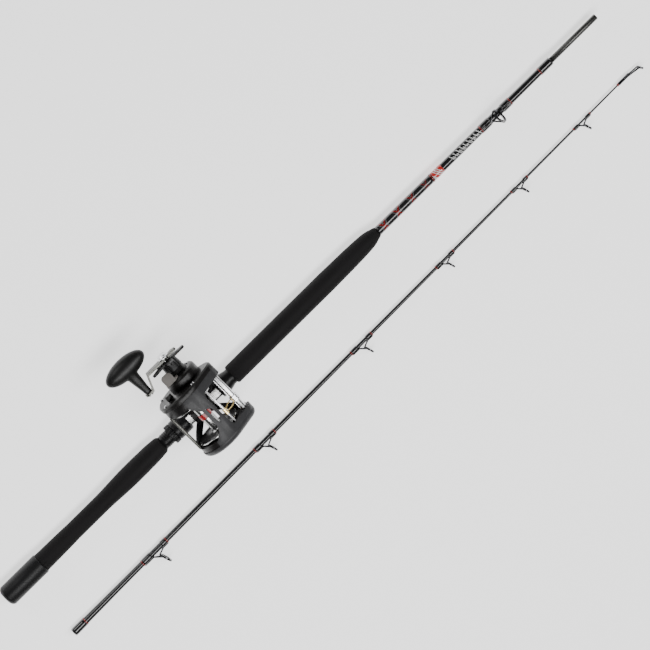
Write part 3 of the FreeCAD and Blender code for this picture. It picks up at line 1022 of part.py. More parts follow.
def make_handle():
    low_y = ARM_Y - ARM_CRANK
    half = ARM_WIDTH / 2
    side_points = [
        (DRIVE_X + ARM_TAIL, ARM_Y), (DRIVE_X - ARM_BEND_START, ARM_Y), (DRIVE_X - ARM_BEND_END, low_y),
        (KNOB_X - 6.5, low_y), (KNOB_X - 6.5, low_y + ARM_T), (DRIVE_X - ARM_BEND_END - 1.2, low_y + ARM_T),
        (DRIVE_X - ARM_BEND_START - 1.2, ARM_Y + ARM_T), (DRIVE_X + ARM_TAIL, ARM_Y + ARM_T),
    ]
    bar = plan_prism(side_points, DRIVE_Z - half, DRIVE_Z + half)
    plan = fused([
        disc(half, low_y - 1, ARM_Y + ARM_T + 1, DRIVE_X, DRIVE_Z),
        side_prism([(DRIVE_X, DRIVE_Z - half), (DRIVE_X, DRIVE_Z + half), (KNOB_X, DRIVE_Z + 6.5),
                    (KNOB_X, DRIVE_Z - 6.5)], low_y - 1, ARM_Y + ARM_T + 1),
        disc(6.5, low_y - 1, ARM_Y + ARM_T + 1, KNOB_X, DRIVE_Z),
        side_prism([(DRIVE_X, DRIVE_Z - 6.0), (DRIVE_X, DRIVE_Z + 6.0), (DRIVE_X + ARM_TAIL - 4.0, DRIVE_Z + 4.0),
                    (DRIVE_X + ARM_TAIL - 4.0, DRIVE_Z - 4.0)], low_y - 1, ARM_Y + ARM_T + 1),
        disc(4.0, low_y - 1, ARM_Y + ARM_T + 1, DRIVE_X + ARM_TAIL - 4.0, DRIVE_Z),
    ])
    arm = bar.common(plan)
    slot = block(DRIVE_X - ARM_BEND_END + 1.0, DRIVE_X - ARM_BEND_START - 1.0, low_y - 5, ARM_Y + 10,
                 DRIVE_Z - 3.0, DRIVE_Z + 3.0)
    arm = arm.cut(slot)
    arm = arm.cut(disc(DRIVE_SHAFT_R, low_y - 1, ARM_Y + ARM_T + 1, DRIVE_X, DRIVE_Z))
    arm = arm.cut(disc(KNOB_PIN_R, low_y - 1, ARM_Y + ARM_T + 1, KNOB_X, DRIVE_Z))
    parts["handle_arm"] = arm
    nut_y = ARM_Y + ARM_T
    flange = washer(8.3, DRIVE_SHAFT_R, nut_y, nut_y + 1.2, DRIVE_X, DRIVE_Z)
    corners = [(DRIVE_X + 6.6 * math.cos(math.radians(60 * i)), DRIVE_Z + 6.6 * math.sin(math.radians(60 * i)))
               for i in range(6)]
    hexagon = side_prism(corners, nut_y + 1.2, nut_y + 5.0)
    cap = fused([flange, hexagon]).cut(disc(DRIVE_SHAFT_R, ARM_Y, DRIVE_SHAFT_END, DRIVE_X, DRIVE_Z))
    parts["handle_nut"] = cap

    pin = disc(KNOB_PIN_R, low_y - 1.6, KNOB_PIN_END, KNOB_X, DRIVE_Z)
    pin_head = disc(4.6, low_y - 1.8, low_y, KNOB_X, DRIVE_Z)
    pin_cap = disc(PIN_CAP_R, KNOB_PIN_END, KNOB_PIN_END + 1.2, KNOB_X, DRIVE_Z)
    parts["knob_pin"] = fused([pin, pin_head, pin_cap])
    knob_start = low_y + ARM_T + BODY_GAP
    stem_points = [(knob_start, 5.2), (knob_start + 6.0, 5.6), (KNOB_PIN_END - 7.0, 7.6),
                   (KNOB_PIN_END + 4.0, 9.2), (KNOB_PIN_END + 12.0, 12.0)]
    points = [Vector(KNOB_X + radius, y, DRIVE_Z) for y, radius in stem_points]
    curve = Part.BSplineCurve()
    curve.interpolate(points)
    axis_low = Vector(KNOB_X, knob_start, DRIVE_Z)
    axis_high = Vector(KNOB_X, stem_points[-1][0], DRIVE_Z)
    stem_wire = Part.Wire([
        Part.LineSegment(axis_low, points[0]).toShape(), curve.toShape(),
        Part.LineSegment(points[-1], axis_high).toShape(), Part.LineSegment(axis_high, axis_low).toShape(),
    ])
    stem = Part.Face(stem_wire).revolve(axis_low, Y_DIR, 360)
    unit = Part.makeSphere(1.0)
    stretch = FreeCAD.Matrix()
    stretch.scale(KNOB_LENGTH / 2, KNOB_DEEP / 2, KNOB_THICK / 2)
    paddle = unit.transformGeometry(stretch)
    paddle.translate(Vector(KNOB_X, KNOB_END - KNOB_DEEP / 2, DRIVE_Z))
    knob = stem.fuse(paddle)
    knob = knob.cut(disc(KNOB_PIN_R + RUNNING, low_y, KNOB_PIN_END, KNOB_X, DRIVE_Z))
    knob = knob.cut(disc(PIN_CAP_R + BODY_GAP, KNOB_PIN_END - BODY_GAP, KNOB_PIN_END + 1.2 + BODY_GAP,
                         KNOB_X, DRIVE_Z))
    parts["handle_knob"] = knob


def make_all():
    make_butt_section()
    make_tip_section()
    make_reel_frame()
    make_side_plates()
    make_spool()
    idler = make_gears()
    make_line_guide()
    make_clutch()
    make_drive()
    return idler


IDLER_X, IDLER_Z = make_all()

box = FreeCAD.BoundBox()
for shape in parts.values():
    box.add(shape.optimalBoundingBox(False))
SHIFT = Vector(-(box.XMin + box.XMax) / 2, -(box.YMin + box.YMax) / 2, -box.ZMin)

os.makedirs("parts", exist_ok=True)
for name, shape in parts.items():
    placed = shape.copy()
    placed.translate(SHIFT)
    placed.exportStep("parts/%s.step" % name)
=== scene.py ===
"""Looks of a two-piece boat rod with its level-wind reel. Metres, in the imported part's own frame."""
import json
import math

import bmesh
import bpy
from mathutils import Matrix, Vector


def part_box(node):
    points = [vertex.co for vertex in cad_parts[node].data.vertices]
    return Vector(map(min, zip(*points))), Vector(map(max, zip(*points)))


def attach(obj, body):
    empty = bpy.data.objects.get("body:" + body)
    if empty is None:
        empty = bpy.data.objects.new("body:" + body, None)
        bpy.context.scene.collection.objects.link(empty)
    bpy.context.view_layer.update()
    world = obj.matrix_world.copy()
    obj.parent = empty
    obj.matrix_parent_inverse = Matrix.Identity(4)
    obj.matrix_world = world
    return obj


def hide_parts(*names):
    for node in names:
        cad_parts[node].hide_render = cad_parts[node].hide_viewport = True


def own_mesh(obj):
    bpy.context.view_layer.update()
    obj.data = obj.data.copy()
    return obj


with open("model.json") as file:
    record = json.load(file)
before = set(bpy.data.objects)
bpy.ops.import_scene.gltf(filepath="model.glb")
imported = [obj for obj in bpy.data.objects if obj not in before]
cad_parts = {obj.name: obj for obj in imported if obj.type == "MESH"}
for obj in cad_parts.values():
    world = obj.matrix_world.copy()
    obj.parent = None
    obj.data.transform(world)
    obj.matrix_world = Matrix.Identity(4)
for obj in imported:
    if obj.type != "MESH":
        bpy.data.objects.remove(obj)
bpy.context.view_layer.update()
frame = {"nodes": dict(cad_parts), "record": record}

MM = 0.001
NODES = frame["nodes"]
BODY_OF = {node: body for body, nodes in frame["record"]["behaviour"]["bodies"].items() for node in nodes}
SLOT_OF = {row["node"]: row["material_slot"] for row in frame["record"]["subparts"]}
SCENE = bpy.context.scene

CAP_LOW, CAP_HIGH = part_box("butt_cap")
AXIS_Y = (CAP_LOW.y + CAP_HIGH.y) / 2
AXIS_Z = (CAP_LOW.z + CAP_HIGH.z) / 2
BUTT_X = CAP_LOW.x


# ---------------------------------------------------------------- places
def centre(node):
    low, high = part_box(node)
    return (low + high) / 2


def rod_point(along_mm, side_mm=0.0, up_mm=0.0):
    """A point given from the butt's end, along the rod, toward the handle side and up."""
    return Vector((BUTT_X + along_mm * MM, AXIS_Y + side_mm * MM, AXIS_Z + up_mm * MM))


# ---------------------------------------------------------------- material nodes
NOISE_ROUGHNESS = 0.55
THREAD_PITCH = 0.00032                # one turn of wrapping thread
TAPE_PITCH = 0.0024                   # one turn of the blank's wrapping tape
METAL_GRAIN = 900.0                   # noise scale of tool marks that run no special way
BRUSHED_ACROSS, BRUSHED_ALONG = 2600.0, 40.0


def new_material(name):
    material = bpy.data.materials.new(name)
    material.use_nodes = True
    tree = material.node_tree
    tree.nodes.clear()
    output = tree.nodes.new("ShaderNodeOutputMaterial")
    shader = tree.nodes.new("ShaderNodeBsdfPrincipled")
    tree.links.new(shader.outputs["BSDF"], output.inputs["Surface"])
    coords = tree.nodes.new("ShaderNodeTexCoord")
    return material, tree, shader, coords.outputs["Object"]


def noise(tree, vector, scale, detail=3.0):
    node = tree.nodes.new("ShaderNodeTexNoise")
    node.inputs["Scale"].default_value = scale
    node.inputs["Detail"].default_value = detail
    node.inputs["Roughness"].default_value = NOISE_ROUGHNESS
    tree.links.new(vector, node.inputs["Vector"])
    return node.outputs["Fac"]


def remap(tree, value, low, high, from_low=0.3, from_high=0.7):
    node = tree.nodes.new("ShaderNodeMapRange")
    node.inputs["From Min"].default_value = from_low
    node.inputs["From Max"].default_value = from_high
    node.inputs["To Min"].default_value = low
    node.inputs["To Max"].default_value = high
    tree.links.new(value, node.inputs["Value"])
    return node.outputs["Result"]


def mixed_colour(tree, factor, first, second):
    """The first colour where factor is 0, the second where it is 1; each may be a node's output."""
    node = tree.nodes.new("ShaderNodeMix")
    node.data_type = "RGBA"
    for socket, colour in ((node.inputs["A"], first), (node.inputs["B"], second)):
        if isinstance(colour, tuple):
            socket.default_value = (*colour, 1.0)
        else:
            tree.links.new(colour, socket)
    tree.links.new(factor, node.inputs["Factor"])
    return node.outputs["Result"]


def wave_scale(pitch):
    """The Wave texture's scale for one band every pitch metres."""
    return 2 * math.pi / (20 * pitch)


def bump(tree, shader, height, strength, distance):
    node = tree.nodes.new("ShaderNodeBump")
    node.inputs["Strength"].default_value = strength
    node.inputs["Distance"].default_value = distance
    tree.links.new(height, node.inputs["Height"])
    tree.links.new(node.outputs["Normal"], shader.inputs["Normal"])


def maths(tree, operation, first, second=None):
    node = tree.nodes.new("ShaderNodeMath")
    node.operation = operation
    for socket, value in zip(node.inputs, (first, second)):
        if value is None:
            continue
        if isinstance(value, (int, float)):
            socket.default_value = value
        else:
            tree.links.new(value, socket)
    return node.outputs[0]


def moulded(name, colour, rough, grain=1400.0, depth=0.00003, spread=0.18, coat=0.0, specular=0.5):
    """A moulded or cast finish: fine grain in the surface, soft colour and gloss variation."""
    material, tree, shader, place = new_material(name)
    broad = noise(tree, place, 60.0)
    fine = noise(tree, place, grain, detail=2.0)
    dark = tuple(c * (1 - spread) for c in colour)
    light = tuple(min(1.0, c * (1 + spread)) for c in colour)
    tree.links.new(mixed_colour(tree, remap(tree, broad, 0, 1), dark, light), shader.inputs["Base Color"])
    gloss = remap(tree, fine, max(0.02, rough - 0.06), min(1.0, rough + 0.06))
    tree.links.new(gloss, shader.inputs["Roughness"])
    shader.inputs["Coat Weight"].default_value = coat
    shader.inputs["Coat Roughness"].default_value = 0.08
    shader.inputs["Specular IOR Level"].default_value = specular
    bump(tree, shader, fine, 0.35, depth)
    return material


def foam(name):
    """Closed-cell grip foam: dense small cells, faint mottling from handling."""
    material, tree, shader, place = new_material(name)
    cells = tree.nodes.new("ShaderNodeTexVoronoi")
    cells.inputs["Scale"].default_value = 1500.0
    tree.links.new(place, cells.inputs["Vector"])
    fine = noise(tree, place, 2600.0, detail=2.0)
    broad = noise(tree, place, 22.0, detail=4.0)
    height = maths(tree, "ADD", cells.outputs["Distance"], fine)
    colour = mixed_colour(tree, remap(tree, broad, 0, 1), (0.0080, 0.0075, 0.0078), (0.0130, 0.0122, 0.0126))
    tree.links.new(colour, shader.inputs["Base Color"])
    tree.links.new(remap(tree, broad, 0.62, 0.78), shader.inputs["Roughness"])
    shader.inputs["Specular IOR Level"].default_value = 0.16
    bump(tree, shader, height, 0.35, 0.00006)
    return material


def threaded(name, dark, light, metallic=0.0):
    """Thread wound round the blank under clear resin: fine turns, gloss on top."""
    material, tree, shader, place = new_material(name)
    turns = tree.nodes.new("ShaderNodeTexWave")
    turns.wave_type = "BANDS"
    turns.bands_direction = "X"
    turns.inputs["Scale"].default_value = wave_scale(THREAD_PITCH)
    turns.inputs["Distortion"].default_value = 0.0
    tree.links.new(place, turns.inputs["Vector"])
    tree.links.new(mixed_colour(tree, turns.outputs["Fac"], dark, light), shader.inputs["Base Color"])
    broad = noise(tree, place, 240.0)
    tree.links.new(remap(tree, broad, 0.22, 0.34), shader.inputs["Roughness"])
    shader.inputs["Metallic"].default_value = metallic
    shader.inputs["Coat Weight"].default_value = 1.0
    shader.inputs["Coat Roughness"].default_value = 0.05
    bump(tree, shader, turns.outputs["Fac"], 0.10, 0.00002)
    return material


def lacquered(name):
    """Black glass-fibre tube under lacquer, with the faint spiral of its wrapping tape."""
    material, tree, shader, place = new_material(name)
    tape = tree.nodes.new("ShaderNodeTexWave")
    tape.wave_type = "BANDS"
    tape.bands_direction = "X"
    tape.inputs["Scale"].default_value = wave_scale(TAPE_PITCH)
    tape.inputs["Distortion"].default_value = 0.6
    tape.inputs["Detail Scale"].default_value = 30.0
    tree.links.new(place, tape.inputs["Vector"])
    colour = mixed_colour(tree, tape.outputs["Fac"], (0.0075, 0.0075, 0.0085), (0.0125, 0.0125, 0.0135))
    tree.links.new(colour, shader.inputs["Base Color"])
    fine = noise(tree, place, 420.0)
    tree.links.new(remap(tree, fine, 0.24, 0.30), shader.inputs["Roughness"])
    shader.inputs["Specular IOR Level"].default_value = 0.3
    shader.inputs["Coat Weight"].default_value = 1.0
    shader.inputs["Coat Roughness"].default_value = 0.06
    bump(tree, shader, tape.outputs["Fac"], 0.05, 0.00001)
    return material


def metal(name, colour, rough, brushed_axis=None, spread=0.06):
    """Bright or machined metal with fine tool marks."""
    material, tree, shader, place = new_material(name)
    mapping = tree.nodes.new("ShaderNodeMapping")
    stretch = [METAL_GRAIN] * 3
    if brushed_axis is not None:
        stretch = [BRUSHED_ACROSS] * 3
        stretch[brushed_axis] = BRUSHED_ALONG
    mapping.inputs["Scale"].default_value = stretch
    tree.links.new(place, mapping.inputs["Vector"])
    marks = noise(tree, mapping.outputs["Vector"], 1.0, detail=3.0)
    dark = tuple(c * (1 - spread) for c in colour)
    tree.links.new(mixed_colour(tree, marks, dark, colour), shader.inputs["Base Color"])
    tree.links.new(remap(tree, marks, max(0.02, rough - 0.05), rough + 0.07), shader.inputs["Roughness"])
    shader.inputs["Metallic"].default_value = 1.0
    bump(tree, shader, marks, 0.12, 0.00002)
    return material


def ramp(tree, value, *stops):
    """Hard-edged colour bands along a 0 to 1 value."""
    node = tree.nodes.new("ShaderNodeValToRGB")
    node.color_ramp.interpolation = "CONSTANT"
    elements = node.color_ramp.elements
    while len(elements) < len(stops):
        elements.new(0.5)
    for element, (position, colour) in zip(elements, stops):
        element.position = position
        element.color = (*colour, 1.0)
    tree.links.new(value, node.inputs["Fac"])
    return node.outputs["Color"]


def patterned_wrap(name):
    """Decorative wrap: crossed red and grey threads on black, then a red band with pale slanted stripes."""
    material, tree, shader, place = new_material(name)
    split = tree.nodes.new("ShaderNodeSeparateXYZ")
    tree.links.new(place, split.inputs["Vector"])
    along = maths(tree, "SUBTRACT", split.outputs["X"], WRAP_START_X)
    side = maths(tree, "SUBTRACT", split.outputs["Y"], AXIS_Y)
    height = maths(tree, "SUBTRACT", split.outputs["Z"], AXIS_Z)
    turn = maths(tree, "DIVIDE", maths(tree, "ARCTAN2", side, height), 2 * math.pi)
    pitches = maths(tree, "DIVIDE", along, DIAMOND_PITCH)

    def strand(direction, offset, width):
        """1 on a thread that spirals round the blank, 0 beside it."""
        phase = maths(tree, "ADD", pitches, maths(tree, "MULTIPLY", turn, direction))
        phase = maths(tree, "FRACT", maths(tree, "ADD", phase, offset + 10.0))
        distance = maths(tree, "ABSOLUTE", maths(tree, "SUBTRACT", phase, 0.5))
        return maths(tree, "LESS_THAN", distance, width)

    def crossing(offset, width):
        """1 on either of two threads that spiral opposite ways."""
        return maths(tree, "MAXIMUM", strand(1, offset, width), strand(-1, offset, width))

    red = crossing(0.0, RED_WIDTH)
    grey = maths(tree, "MAXIMUM", crossing(GREY_OFFSET, GREY_WIDTH), crossing(-GREY_OFFSET, GREY_WIDTH))
    fade = remap(tree, along, 1.0, 0.35, DIAMOND_PITCH * 1.5, DIAMOND_PITCH * 4)
    turns = tree.nodes.new("ShaderNodeTexWave")
    turns.bands_direction = "X"
    turns.inputs["Scale"].default_value = wave_scale(THREAD_PITCH)
    tree.links.new(place, turns.inputs["Vector"])
    base = mixed_colour(tree, turns.outputs["Fac"], (0.006, 0.006, 0.007), (0.014, 0.013, 0.014))

    crossed = mixed_colour(tree, maths(tree, "MULTIPLY", grey, fade), base, GREY_THREAD)
    crossed = mixed_colour(tree, maths(tree, "MULTIPLY", red, fade), crossed, RED_THREAD)
    slanted = maths(tree, "ADD", split.outputs["X"], maths(tree, "MULTIPLY", side, LABEL_SLANT))
    share = maths(tree, "DIVIDE", maths(tree, "SUBTRACT", slanted, LABEL_START_X), LABEL_LENGTH)
    stripes = ramp(tree, share, *LABEL_STRIPES)
    in_label = maths(tree, "GREATER_THAN", split.outputs["X"], LABEL_START_X - 1.0 * MM)
    tree.links.new(mixed_colour(tree, in_label, crossed, stripes), shader.inputs["Base Color"])
    shader.inputs["Roughness"].default_value = 0.28
    shader.inputs["Coat Weight"].default_value = 1.0
    shader.inputs["Coat Roughness"].default_value = 0.04
    bump(tree, shader, turns.outputs["Fac"], 0.10, 0.00002)
    return material


WRAP_LOW, WRAP_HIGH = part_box("decorative_wraps")
WRAP_START_X = WRAP_LOW.x
LABEL_LENGTH = 18.0 * MM
LABEL_START_X = WRAP_HIGH.x - LABEL_LENGTH
LABEL_SLANT = 0.55
LABEL_PALE, LABEL_RED = (0.72, 0.71, 0.70), (0.60, 0.030, 0.025)
LABEL_STRIPES = (
    (0.0, LABEL_PALE), (0.10, LABEL_RED), (0.36, LABEL_PALE), (0.44, LABEL_RED),
    (0.52, LABEL_PALE), (0.64, LABEL_RED), (0.72, LABEL_PALE), (0.80, LABEL_RED),
)
DIAMOND_PITCH = 26.0 * MM
RED_THREAD, GREY_THREAD = (0.28, 0.012, 0.011), (0.16, 0.15, 0.15)
RED_WIDTH, GREY_WIDTH, GREY_OFFSET = 0.045, 0.02, 0.12   # shares of a pitch

MATERIALS = {
    "grip_foam": foam("grip_foam"),
    "butt_rubber": moulded("butt_rubber", (0.0075, 0.0075, 0.008), 0.45, depth=0.00001, specular=0.3),
    "gloss_blank": lacquered("gloss_blank"),
    "spigot_graphite": metal("spigot_graphite", (0.13, 0.13, 0.125), 0.42, spread=0.25),
    "thread_wrap": threaded("thread_wrap", (0.005, 0.005, 0.006), (0.009, 0.009, 0.009)),
    "trim_thread": threaded("trim_thread", (0.12, 0.010, 0.009), (0.32, 0.028, 0.024), metallic=0.2),
    "decor_wrap": patterned_wrap("decor_wrap"),
    "guide_frame": metal("guide_frame", (0.085, 0.085, 0.09), 0.22),
    "guide_ceramic": moulded("guide_ceramic", (0.016, 0.016, 0.018), 0.12, grain=600.0, depth=0.00001,
                             coat=0.6),
    "seat_black": moulded("seat_black", (0.007, 0.007, 0.0075), 0.36, depth=0.00001, specular=0.3),
    "frame_graphite": moulded("frame_graphite", (0.038, 0.038, 0.040), 0.42, depth=0.00002, specular=0.35),
    "frame_black": moulded("frame_black", (0.007, 0.007, 0.0072), 0.40, depth=0.00001, specular=0.25),
    "housing_black": moulded("housing_black", (0.0080, 0.0072, 0.0070), 0.34, depth=0.00001, specular=0.3),
    "chrome": metal("chrome", (0.80, 0.80, 0.81), 0.27),
    "steel": metal("steel", (0.52, 0.52, 0.51), 0.28, brushed_axis=1),
    "gunmetal": metal("gunmetal", (0.13, 0.13, 0.12), 0.38, spread=0.12),
    "lever_grey": moulded("lever_grey", (0.15, 0.138, 0.126), 0.45, spread=0.08, specular=0.3),
    "gold_wire": metal("gold_wire", (0.86, 0.66, 0.30), 0.16),
    "brass": metal("brass", (0.70, 0.50, 0.22), 0.26),
    "spool_metal": metal("spool_metal", (0.50, 0.50, 0.49), 0.22, brushed_axis=0),
    "red_mark": moulded("red_mark", (0.62, 0.022, 0.028), 0.28, coat=0.3),
    "drag_fibre": moulded("drag_fibre", (0.05, 0.045, 0.04), 0.7),
    "knob_black": moulded("knob_black", (0.0075, 0.0075, 0.0073), 0.40, depth=0.000006, specular=0.4),
    "mark_white": moulded("mark_white", (0.66, 0.66, 0.65), 0.35, coat=0.5),
    "spring_steel": metal("spring_steel", (0.5, 0.5, 0.5), 0.25),
}


def dress(piece, slot):
    piece.data.materials.clear()
    piece.data.materials.append(MATERIALS[slot])


def finish_piece(piece, body, slot, *replaced, paint=None):
    """Puts a new piece on its body with its finish, standing for CAD nodes."""
    dress(piece, paint or slot)
    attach(piece, body)
    if replaced:
        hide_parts(*replaced)
    return piece


# ---------------------------------------------------------------- mesh helpers
WELD = 0.002 * MM                     # CAD facets share corners closer than this
FLAT_ANGLE = math.radians(0.6)        # facets this near to flat become one
BEVEL_SEGMENTS = 3
BEVEL_ANGLE = math.radians(32.0)
CAD_CREASE = math.radians(32)
COPY_CREASE = math.radians(50)
LATHE_CREASE = math.radians(35)


def mesh_object(name, verts, faces, smooth=True):
    mesh = bpy.data.meshes.new(name)
    mesh.from_pydata([tuple(v) for v in verts], [], faces)
    mesh.validate()
    mesh.update()
    for polygon in mesh.polygons:
        polygon.use_smooth = smooth
    piece = bpy.data.objects.new(name, mesh)
    SCENE.collection.objects.link(piece)
    return piece


def welded_copy(node, name):
    """A copy of a CAD piece's mesh with its doubled corners joined, open for editing."""
    mesh = NODES[node].data.copy()
    mesh.name = name
    shape = bmesh.new()
    shape.from_mesh(mesh)
    bmesh.ops.remove_doubles(shape, verts=shape.verts, dist=WELD)
    return mesh, shape


def piece_from(mesh, shape):
    """The edited shape as a smooth-shaded piece of the scene."""
    shape.to_mesh(mesh)
    shape.free()
    for polygon in mesh.polygons:
        polygon.use_smooth = True
    piece = bpy.data.objects.new(mesh.name, mesh)
    SCENE.collection.objects.link(piece)
    return piece


def softened(node, width):
    """The CAD piece with its edges rounded, as a moulding or casting has them."""
    mesh, shape = welded_copy(node, "rounded_" + node)
    bmesh.ops.dissolve_limit(shape, angle_limit=FLAT_ANGLE, verts=shape.verts, edges=shape.edges)
    piece = piece_from(mesh, shape)
    bevel = piece.modifiers.new("bevel", "BEVEL")
    bevel.width = width
    bevel.segments = BEVEL_SEGMENTS
    bevel.limit_method = "ANGLE"
    bevel.angle_limit = BEVEL_ANGLE
    bevel.harden_normals = True
    bevel.use_clamp_overlap = True
    finish_piece(piece, BODY_OF[node], SLOT_OF[node], node)


def smooth_copy(node, growth=0.0):
    """The CAD piece smoothly shaded, and grown outward all round where resin builds up on wire or thread."""
    mesh, shape = welded_copy(node, "filled_" + node)
    shape.normal_update()
    moves = [(vertex, vertex.normal * growth) for vertex in shape.verts]
    for vertex, move in moves:
        vertex.co += move
    piece = piece_from(mesh, shape)
    mesh.set_sharp_from_angle(angle=COPY_CREASE)
    return finish_piece(piece, BODY_OF[node], SLOT_OF[node], node)


def lathe(name, profile, middle, axis, steps=96):
    """A turned piece: (distance along the axis, radius) points about a line through middle."""
    direction = Vector(axis).normalized()
    out = direction.orthogonal().normalized()
    across = direction.cross(out)
    verts = []
    for along, radius in profile:
        for step in range(steps):
            angle = 2 * math.pi * step / steps
            spoke = out * math.cos(angle) + across * math.sin(angle)
            verts.append(middle + direction * along + spoke * radius)
    faces = []
    rows = len(profile)
    for row in range(rows):
        following = (row + 1) % rows
        for step in range(steps):
            turn = (step + 1) % steps
            faces.append((row * steps + step, row * steps + turn,
                          following * steps + turn, following * steps + step))
    piece = mesh_object(name, verts, faces)
    piece.data.set_sharp_from_angle(angle=LATHE_CREASE)
    return piece


def wire_loop(name, points, radius):
    """A closed loop of round wire led by the given points."""
    curve = bpy.data.curves.new(name, "CURVE")
    curve.dimensions = "3D"
    curve.bevel_depth = radius
    curve.bevel_resolution = 3
    curve.resolution_u = 10
    spline = curve.splines.new("NURBS")
    spline.points.add(len(points) - 1)
    for knot, point in zip(spline.points, points):
        knot.co = (*point, 1.0)
    spline.order_u = 3
    spline.use_cyclic_u = True
    holder = bpy.data.objects.new(name + "_curve", curve)
    SCENE.collection.objects.link(holder)
    bpy.context.view_layer.update()
    mesh = bpy.data.meshes.new_from_object(holder.evaluated_get(bpy.context.evaluated_depsgraph_get()))
    bpy.data.objects.remove(holder)
    for polygon in mesh.polygons:
        polygon.use_smooth = True
    piece = bpy.data.objects.new(name, mesh)
    SCENE.collection.objects.link(piece)
    return piece


# ---------------------------------------------------------------- redrawn pieces
SPOOL_BORE_R = 2.5 * MM
ARBOR_R = 8.5 * MM
PALM_FACE, HANDLE_FACE = 25.0 * MM, 30.0 * MM   # outer faces of the flanges, each side of the rod's axis
FLANGE_T = 2.0 * MM
DISH_DEPTH = 0.5 * MM
RIM_T = 1.6 * MM                      # polished rim, inward from the flange's edge
BEAD = 0.5 * MM                       # bevel on turned edges
HOLLOW_HALF, HOLLOW_EDGE = 4.3 * MM, 4.6 * MM   # shallow hollow round the line pin
HOLLOW_DEPTH = 0.25 * MM


def make_spool():
    """Bright arbor between two dark flanges with polished rims."""
    low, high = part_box("spool")
    middle = centre("spool")
    pin = centre("line_pin")
    place = Vector((middle.x, 0, middle.z))
    axis = (0, 1, 0)
    flange_r = (high.x - low.x) / 2
    rim_r = flange_r - RIM_T
    palm_y, handle_y = AXIS_Y - PALM_FACE, AXIS_Y + HANDLE_FACE
    palm_end, handle_end = palm_y + FLANGE_T, handle_y - FLANGE_T
    arbor = lathe("spool_arbor", [
        (palm_end, SPOOL_BORE_R), (palm_end, ARBOR_R + 2.2 * MM),
        (palm_end + 0.8 * MM, ARBOR_R + 0.9 * MM), (palm_end + 2.2 * MM, ARBOR_R),
        (pin.y - HOLLOW_EDGE, ARBOR_R), (pin.y - HOLLOW_HALF, ARBOR_R - HOLLOW_DEPTH),
        (pin.y + HOLLOW_HALF, ARBOR_R - HOLLOW_DEPTH), (pin.y + HOLLOW_EDGE, ARBOR_R),
        (handle_end - 2.2 * MM, ARBOR_R), (handle_end - 0.8 * MM, ARBOR_R + 0.9 * MM),
        (handle_end, ARBOR_R + 2.2 * MM), (handle_end, SPOOL_BORE_R)], place, axis)
    finish_piece(arbor, "spool", "spool_metal", "spool")
    for name, start, inward in (("spool_flange_palm", palm_y, 1), ("spool_flange_handle", handle_y, -1)):
        inner = start + inward * FLANGE_T
        dish = inner - inward * DISH_DEPTH
        flange = lathe(name, [
            (start, SPOOL_BORE_R), (start, rim_r), (inner, rim_r),
            (inner, rim_r - 1.0 * MM), (dish, rim_r - 2.0 * MM), (dish, ARBOR_R + 3.2 * MM),
            (inner, ARBOR_R + 2.4 * MM), (inner, SPOOL_BORE_R)], place, axis)
        finish_piece(flange, "spool", "housing_black")
        rim = lathe(name + "_rim", [
            (start, rim_r), (start, flange_r - BEAD), (start + inward * BEAD, flange_r),
            (inner - inward * BEAD, flange_r), (inner, flange_r - BEAD), (inner, rim_r)], place, axis)
        finish_piece(rim, "spool", "spool_metal")


KNOB_VOXEL = 0.7 * MM
KNOB_SMOOTHING = 22


def make_knob():
    """Handle knob with its paddle flowing into the stem."""
    mesh = NODES["handle_knob"].data.copy()
    piece = bpy.data.objects.new("knob_paddle", mesh)
    SCENE.collection.objects.link(piece)
    fine = piece.modifiers.new("remesh", "REMESH")
    fine.mode = "VOXEL"
    fine.voxel_size = KNOB_VOXEL
    flow = piece.modifiers.new("flow", "SMOOTH")
    flow.factor = 0.5
    flow.iterations = KNOB_SMOOTHING
    bpy.context.view_layer.update()
    smooth = bpy.data.meshes.new_from_object(piece.evaluated_get(bpy.context.evaluated_depsgraph_get()))
    piece.modifiers.clear()
    piece.data = smooth
    for polygon in smooth.polygons:
        polygon.use_smooth = True
    finish_piece(piece, "knob", "knob_black", "handle_knob")


def make_yoke_springs():
    """The clutch yoke's springs as a smooth-shaded copy with a mesh of their own."""
    piece = smooth_copy("yoke_springs")
    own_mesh(piece)


LOOP_WIRE_R = 0.85 * MM
LOOP_ABOVE_TUBE, LOOP_BELOW_ROD = 5.6 * MM, 2.2 * MM
# share of the loop's height, share of its half width
LOOP_OUTLINE = ((0.0, 0.45), (0.16, 0.92), (0.45, 1.0), (0.78, 0.78), (0.97, 0.30))
SLIDE_BORE, SLIDE_R = 4.8 * MM, 6.35 * MM
HUB_BORE, HUB_R = 1.6 * MM, 2.85 * MM


